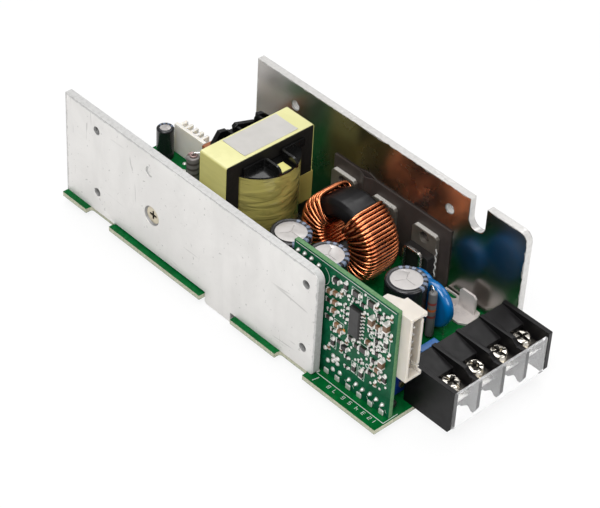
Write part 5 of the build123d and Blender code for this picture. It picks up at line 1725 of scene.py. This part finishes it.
@dataclass
class Choke(Assembly):
    """The upright ring choke and its two bundles of enamelled copper wire."""

    centre: Point = (84.6, 38.95, 14.85)
    wire_r: float = 0.49
    wire_faces: int = 12
    pitch: float = 5.3
    bundles: tuple[tuple[float, int, float, float, float], ...] = (
        (-62.0, 24, 0.0, 0.5, 0.0), (127.0, 20, 0.5, 0.0, 1.3),
    )
    bore: float = 6.61
    rim: float = 14.09
    half: float = 6.19
    lift: float = 0.98
    climb: float = 3.6
    square: float = 0.4
    looseness: float = 0.3
    least_slack: float = 0.55
    more_slack: float = 0.45
    leg_y: float = 3.6
    leg_end: float = -3.6
    steps: int = 44
    seed: int = 5

    def build(self) -> None:
        """Makes the ring and its wire."""
        self.refine("choke_core", bevel=0.35)
        routes = [self.bundle(*bundle) for bundle in self.bundles] + self.legs()
        mesh = wires("choke_turns", routes, self.wire_r * MM, self.looks["copper_wire"], self.wire_faces)
        self.enter("choke_turns", mesh, "copper_wire", "copper_wire", "choke_winding")

    def spot(self, radius: float, angle: float, y: float) -> Vector:
        """Gives a place from its distance and angle about the ring's axis and its place along it."""
        x0, y0, z0 = self.centre
        return DRAWING.at(x0 + radius * math.cos(angle), y0 + y, z0 + radius * math.sin(angle))

    def bundle(self, start: float, turns: int, before: float, after: float, slack: float) -> list[Vector]:
        """Gives the points of one bundle; every second turn lies over its neighbours at the bore.

        Args:
            start: The first turn's angle about the ring, in degrees.
            turns: How many full turns it has.
            before: The part of a turn that leads into the first one, from the bore.
            after: The part of a turn that ends it, in the bore.
            slack: How far its middle turns bulge from the core, in millimetres.

        Returns:
            The wire's points, in metres.
        """
        rng = Random(self.seed + turns)
        loose = [rng.uniform(-self.looseness, self.looseness) for _ in range(turns + 1)]
        route = []
        for index in range(-int(before * self.steps), int((turns + after) * self.steps) + 1):
            turn, step = divmod(index, self.steps)
            share = step / self.steps
            round_core = math.tau * share
            last = min(max(turn, 0), turns)
            lift = self.lift * (turn % 2)
            bore = self.bore - lift
            cosine, sine = math.cos(round_core), math.sin(round_core)
            flat = math.copysign(abs(cosine) ** self.square, cosine)
            tall = math.copysign(abs(sine) ** self.square, sine)
            bulge = math.sin(math.pi * min(max((turn + share) / turns, 0.0), 1.0))
            rim = self.rim + slack * (self.least_slack + self.more_slack * bulge)
            radius = (rim + bore) / 2 + (rim - bore) / 2 * flat
            over = min(max((rim - radius) / self.climb, 0.0), 1.0)
            drift = loose[last] * (1 - share) + loose[min(last + 1, turns)] * share
            angle = math.radians(start + self.pitch * (turn + share) + drift * max(flat, 0.0))
            route.append(self.spot(radius, angle, (self.half + lift * over) * tall))
        return route

    def legs(self) -> list[list[Vector]]:
        """Follows the four straight ends that go down through the board.

        Returns:
            Each end's points, in metres.
        """
        first, second = self.bundles
        ends = [math.radians(first[0]), math.radians(second[0] + (second[1] - 1) * self.pitch)]
        routes = []
        for angle in ends:
            for side in (-1, 1):
                top = self.spot(self.rim, angle, side * self.leg_y)
                foot = DRAWING.at(0, 0, self.leg_end)
                routes.append([top, Vector((top.x, top.y, (top.z + foot.z) / 2)), Vector((top.x, top.y, foot.z))])
        return routes


@dataclass
class Capacitors(Assembly):
    """The sleeved cans."""

    sleeves: tuple[tuple[str, str], ...] = (
        ("capacitor_sleeve_1", "sleeve_1"),
        ("capacitor_sleeve_2", "sleeve_2"),
        ("capacitor_sleeve_3", "black_sleeve"),
        ("small_capacitor_sleeve", "sleeve_small"),
    )

    def build(self) -> None:
        """Makes the cans and their sleeves."""
        for node, look in self.sleeves:
            self.refine(node, look=look)
            self.refine(node.replace("sleeve", "can"), bevel=0.05)


@dataclass
class SmallParts(Assembly):
    """The loose parts between the larger ones."""

    edges: tuple[tuple[str, float], ...] = (
        ("banded_resistor", 0.0), ("banded_resistor_wires", 0.0), ("board_diode", 0.1), ("disc_capacitor_1", 0.0),
        ("disc_capacitor_2", 0.0), ("disc_wires", 0.0), ("film_capacitor", 0.1), ("orange_capacitor", 0.1),
        ("output_bracket", 0.12), ("rear_header", 0.15), ("rear_header_pins", 0.06), ("rear_resistor", 0.0),
        ("rear_resistor_wires", 0.0), ("shunt_link", 0.1), ("signal_header", 0.15), ("signal_header_pins", 0.06),
        ("trimmer_body", 0.15), ("trimmer_screw", 0.05),
    )
    special: dict[str, str] = field(
        default_factory=lambda: {"rear_resistor": "rear_coat", "rear_header": "rear_nylon"}
    )
    curl_at: Point = (23.8, 30.2, 12.45)
    curl_steps: int = 30
    curl_turns: float = 1.6
    curl_r: float = 0.35
    curl_grow: float = 1.15
    curl_drop: float = 0.25
    curl_wire: float = 0.33
    curl_faces: int = 8
    notches: tuple[tuple[Point, Point], ...] = (
        ((139.3, 10.5, 16.6), (141.0, 12.4, 35.4)),
        ((136.6, 10.5, 16.2), (141.0, 12.4, 16.9)),
        ((136.6, 10.5, 35.1), (141.0, 12.4, 35.8)),
    )

    def build(self) -> None:
        """Makes the parts."""
        for node, edge in self.edges:
            piece = self.refine(node, bevel=edge, look=self.special.get(node))
            if node == "signal_header":
                self.notch(piece)
        mesh = wires("curl", [self.curl()], self.curl_wire * MM, self.looks["tarnished_wire"], self.curl_faces)
        self.enter("resistor_curl", mesh, "tarnished_wire", SLOTS["rear_resistor_wires"])

    def curl(self) -> list[Vector]:
        """Follows the wire's flat curl on the rear resistor's end.

        Returns:
            The curl's points, in metres.
        """
        x, y, z = self.curl_at
        route = []
        for index in range(self.curl_steps + 1):
            turn = self.curl_turns * math.tau * index / self.curl_steps
            reach = self.curl_r + self.curl_grow * index / self.curl_steps
            drop = self.curl_drop * index / self.curl_steps
            route.append(DRAWING.at(x + reach * math.cos(turn), y + reach * math.sin(turn), z - drop))
        return route

    def notch(self, header: bpy.types.Object) -> None:
        """Cuts the header's far wall back at its mouth and frees it from the end walls by two slots.

        Args:
            header: The header's piece.
        """
        for low, high in self.notches:
            stock = Stock()
            stock.box(DRAWING.at(*low), DRAWING.at(*high))
            header.data = self.cut(header.data, stock.mesh("notch"))


@dataclass
class TerminalBlock(Assembly):
    """The moulded terminals, their screws and the clear cover."""

    edges: tuple[tuple[str, float], ...] = (
        ("terminal_block", 0.18), ("terminal_strips", 0.08), ("terminal_washers", 0.06), ("terminal_screws", 0.05),
        ("terminal_cover", 0.1),
    )

    def build(self) -> None:
        """Makes the block's pieces."""
        for node, edge in self.edges:
            self.refine(node, bevel=edge, look="screw_steel" if node == "terminal_screws" else None)


@dataclass
class PowerDevices(Assembly):
    """The tab packages on the plates' inner sides, with their sheets, paste and clamp."""

    edges: tuple[tuple[str, float], ...] = (
        ("switch_packages", 0.12), ("switch_frames", 0.05), ("switch_pad", 0.03), ("rectifier_packages", 0.12),
        ("rectifier_frames", 0.05), ("insulating_sheet", 0.03), ("bowed_sheet", 0.08), ("clamp_bar", 0.15),
        ("clamp_screw", 0.05),
    )
    tabs: dict[str, str] = field(
        default_factory=lambda: {"rectifier_frames": "rectifier_metal", "switch_frames": "switch_metal"}
    )
    head_sink: float = 0.6
    head_from: float = 0.25
    paste_r: float = 0.24
    paste_faces: int = 8
    side_bead: Point = (104.25, 54.75, 3.0)
    side_step: float = 0.4
    side_points: int = 26
    side_wave: Flat = (0.28, 2.3)
    over_bead: Point = (80.2, 54.85, 17.15)
    over_step: float = 0.35
    over_points: int = 15
    over_wave: Flat = (0.2, 3.1)
    over_lift: Flat = (0.25, 1.7)

    def build(self) -> None:
        """Makes the devices' pieces."""
        for node, edge in self.edges:
            piece = self.refine(node, bevel=edge, look=self.tabs.get(node))
            if node == "clamp_screw":
                self.sink(piece.data)
        self.enter("paste_beads", self.paste(), "white_paste", "grey_sheet")

    def sink(self, mesh: Mesh) -> None:
        """Presses the screw head's outer face a little below the plate.

        Args:
            mesh: The screw's mesh, which is changed.
        """
        limit = DRAWING.at(0, self.head_from, 0).y
        for corner in mesh.vertices:
            if corner.co.y < limit:
                corner.co.y += self.head_sink * MM

    def paste(self) -> Mesh:
        """Makes the thin uneven beads of paste beside two of the tabs.

        Returns:
            The beads' mesh.
        """
        side, over = [], []
        x0, y0, z0 = self.side_bead
        for index in range(self.side_points):
            z = z0 + self.side_step * index
            side.append(DRAWING.at(x0 + wave(self.side_wave, z), y0, z))
        x0, y0, z0 = self.over_bead
        for index in range(self.over_points):
            x = x0 + self.over_step * index
            over.append(DRAWING.at(x, y0 + wave(self.over_wave, x), z0 + wave(self.over_lift, x)))
        return wires("paste", [side, over], self.paste_r * MM, self.looks["white_paste"], self.paste_faces)


@dataclass(frozen=True)
class Lamp:
    """One square area lamp, aimed at the part."""

    name: str
    place: Point
    size: float
    power: float
    aim: Point = (0.0, 0.0, 0.02)

    def hang(self) -> None:
        """Adds the lamp to the scene."""
        lamp = bpy.data.lights.new(self.name, "AREA")
        lamp.shape = "SQUARE"
        lamp.size = self.size
        lamp.energy = self.power
        stand = placed(self.name, lamp)
        stand.location = self.place
        stand.rotation_mode = "QUATERNION"
        stand.rotation_quaternion = (Vector(self.aim) - Vector(self.place)).to_track_quat("-Z", "Y")


@dataclass
class Studio:
    """The white floor, the white surround, the lamps and the camera."""

    eye: Point = (428.248, -324.134, 417.103)
    across: Point = (0.67793, 0.73370, 0.04572)
    up: Point = (-0.49102, 0.40565, 0.77094)
    back: Point = (0.54709, -0.54510, 0.63526)
    lens: float = 131.61
    sensor: float = 36.0
    clip: Flat = (0.01, 20.0)
    reach: float = 4.0
    floor_z: float = -0.0002
    floor_tone: Colour = (0.80, 0.80, 0.80)
    floor_glow: float = 0.86
    surround: float = 0.30
    lamps: tuple[Lamp, ...] = (
        Lamp("key", (0.25, -0.45, 0.75), 0.55, 6.6),
        Lamp("top", (-0.25, 0.25, 0.85), 0.70, 5.4),
        Lamp("front", (0.75, 0.10, 0.35), 0.45, 2.4),
    )

    def build(self) -> None:
        """Sets up everything that isn't part of the object."""
        bpy.context.scene.view_settings.view_transform = "Standard"
        self.set_camera()
        self.lay_floor()
        self.set_world()
        for lamp in self.lamps:
            lamp.hang()

    def set_camera(self) -> None:
        """Sets the camera at the photograph's view."""
        camera = bpy.data.cameras.new("camera")
        camera.sensor_width = self.sensor
        camera.lens = self.lens
        camera.clip_start, camera.clip_end = self.clip
        holder = placed("camera", camera)
        turn = Matrix((self.across, self.up, self.back)).transposed().to_4x4()
        holder.matrix_world = Matrix.Translation(DRAWING.at(*self.eye)) @ turn
        bpy.context.scene.camera = holder

    def lay_floor(self) -> None:
        """Lays the floor, which the camera sees as white with the object's shadow."""
        mesh = bpy.data.meshes.new("floor")
        r = self.reach
        mesh.from_pydata([(-r, -r, 0), (r, -r, 0), (r, r, 0), (-r, r, 0)], [], [(0, 1, 2, 3)])
        floor = placed("floor", mesh)
        floor.location.z = self.floor_z
        g = Graph("floor")
        g.put("Base Color", self.floor_tone)
        g.put("Roughness", 0.9)
        glow = g.node("ShaderNodeEmission", {"Color": (1.0, 1.0, 1.0, 1.0), "Strength": 1.0})
        rays = g.node("ShaderNodeLightPath")
        seen = g.math("MAXIMUM", rays.outputs["Is Camera Ray"], rays.outputs["Is Transmission Ray"])
        share = g.math("MULTIPLY", seen, self.floor_glow)
        blend = g.node("ShaderNodeMixShader", {0: share, 1: g.shader.outputs[0], 2: glow.outputs[0]})
        g.feed(g.out.inputs[0], blend.outputs[0])
        mesh.materials.append(g.material)

    def set_world(self) -> None:
        """Sets a surround that is white to look at and plain as a light."""
        world = bpy.data.worlds.new("world")
        world.use_nodes = True
        bpy.context.scene.world = world
        writer = NodeWriter()
        writer.tree = world.node_tree
        rays = writer.node("ShaderNodeLightPath").outputs
        seen = writer.node(
            "ShaderNodeMath", {0: rays["Is Camera Ray"], 1: rays["Is Transmission Ray"]}, operation="MAXIMUM"
        )
        level = writer.node("ShaderNodeMapRange", {0: seen.outputs[0], "To Min": self.surround, "To Max": 1.0})
        backdrop = writer.tree.nodes["Background"]
        writer.feed(backdrop.inputs["Color"], (1.0, 1.0, 1.0, 1.0))
        writer.feed(backdrop.inputs["Strength"], level.outputs[0])


ASSEMBLIES: tuple[type[Assembly], ...] = (
    HeatsinkPlates, Boards, ControlBoard, Transformer, Choke, Capacitors, SmallParts, TerminalBlock, PowerDevices,
)


def main() -> None:
    """Builds the dressed part."""
    logging.basicConfig(level=logging.INFO, format="%(message)s")
    looks = finishes()
    for node, holder in frame["nodes"].items():
        holder.data.materials.clear()
        holder.data.materials.append(looks[SLOTS[node]])
    Studio().build()
    for kind in ASSEMBLIES:
        made = kind(looks)
        made.build()
        made.report()


if __name__ == "__main__":
    main()
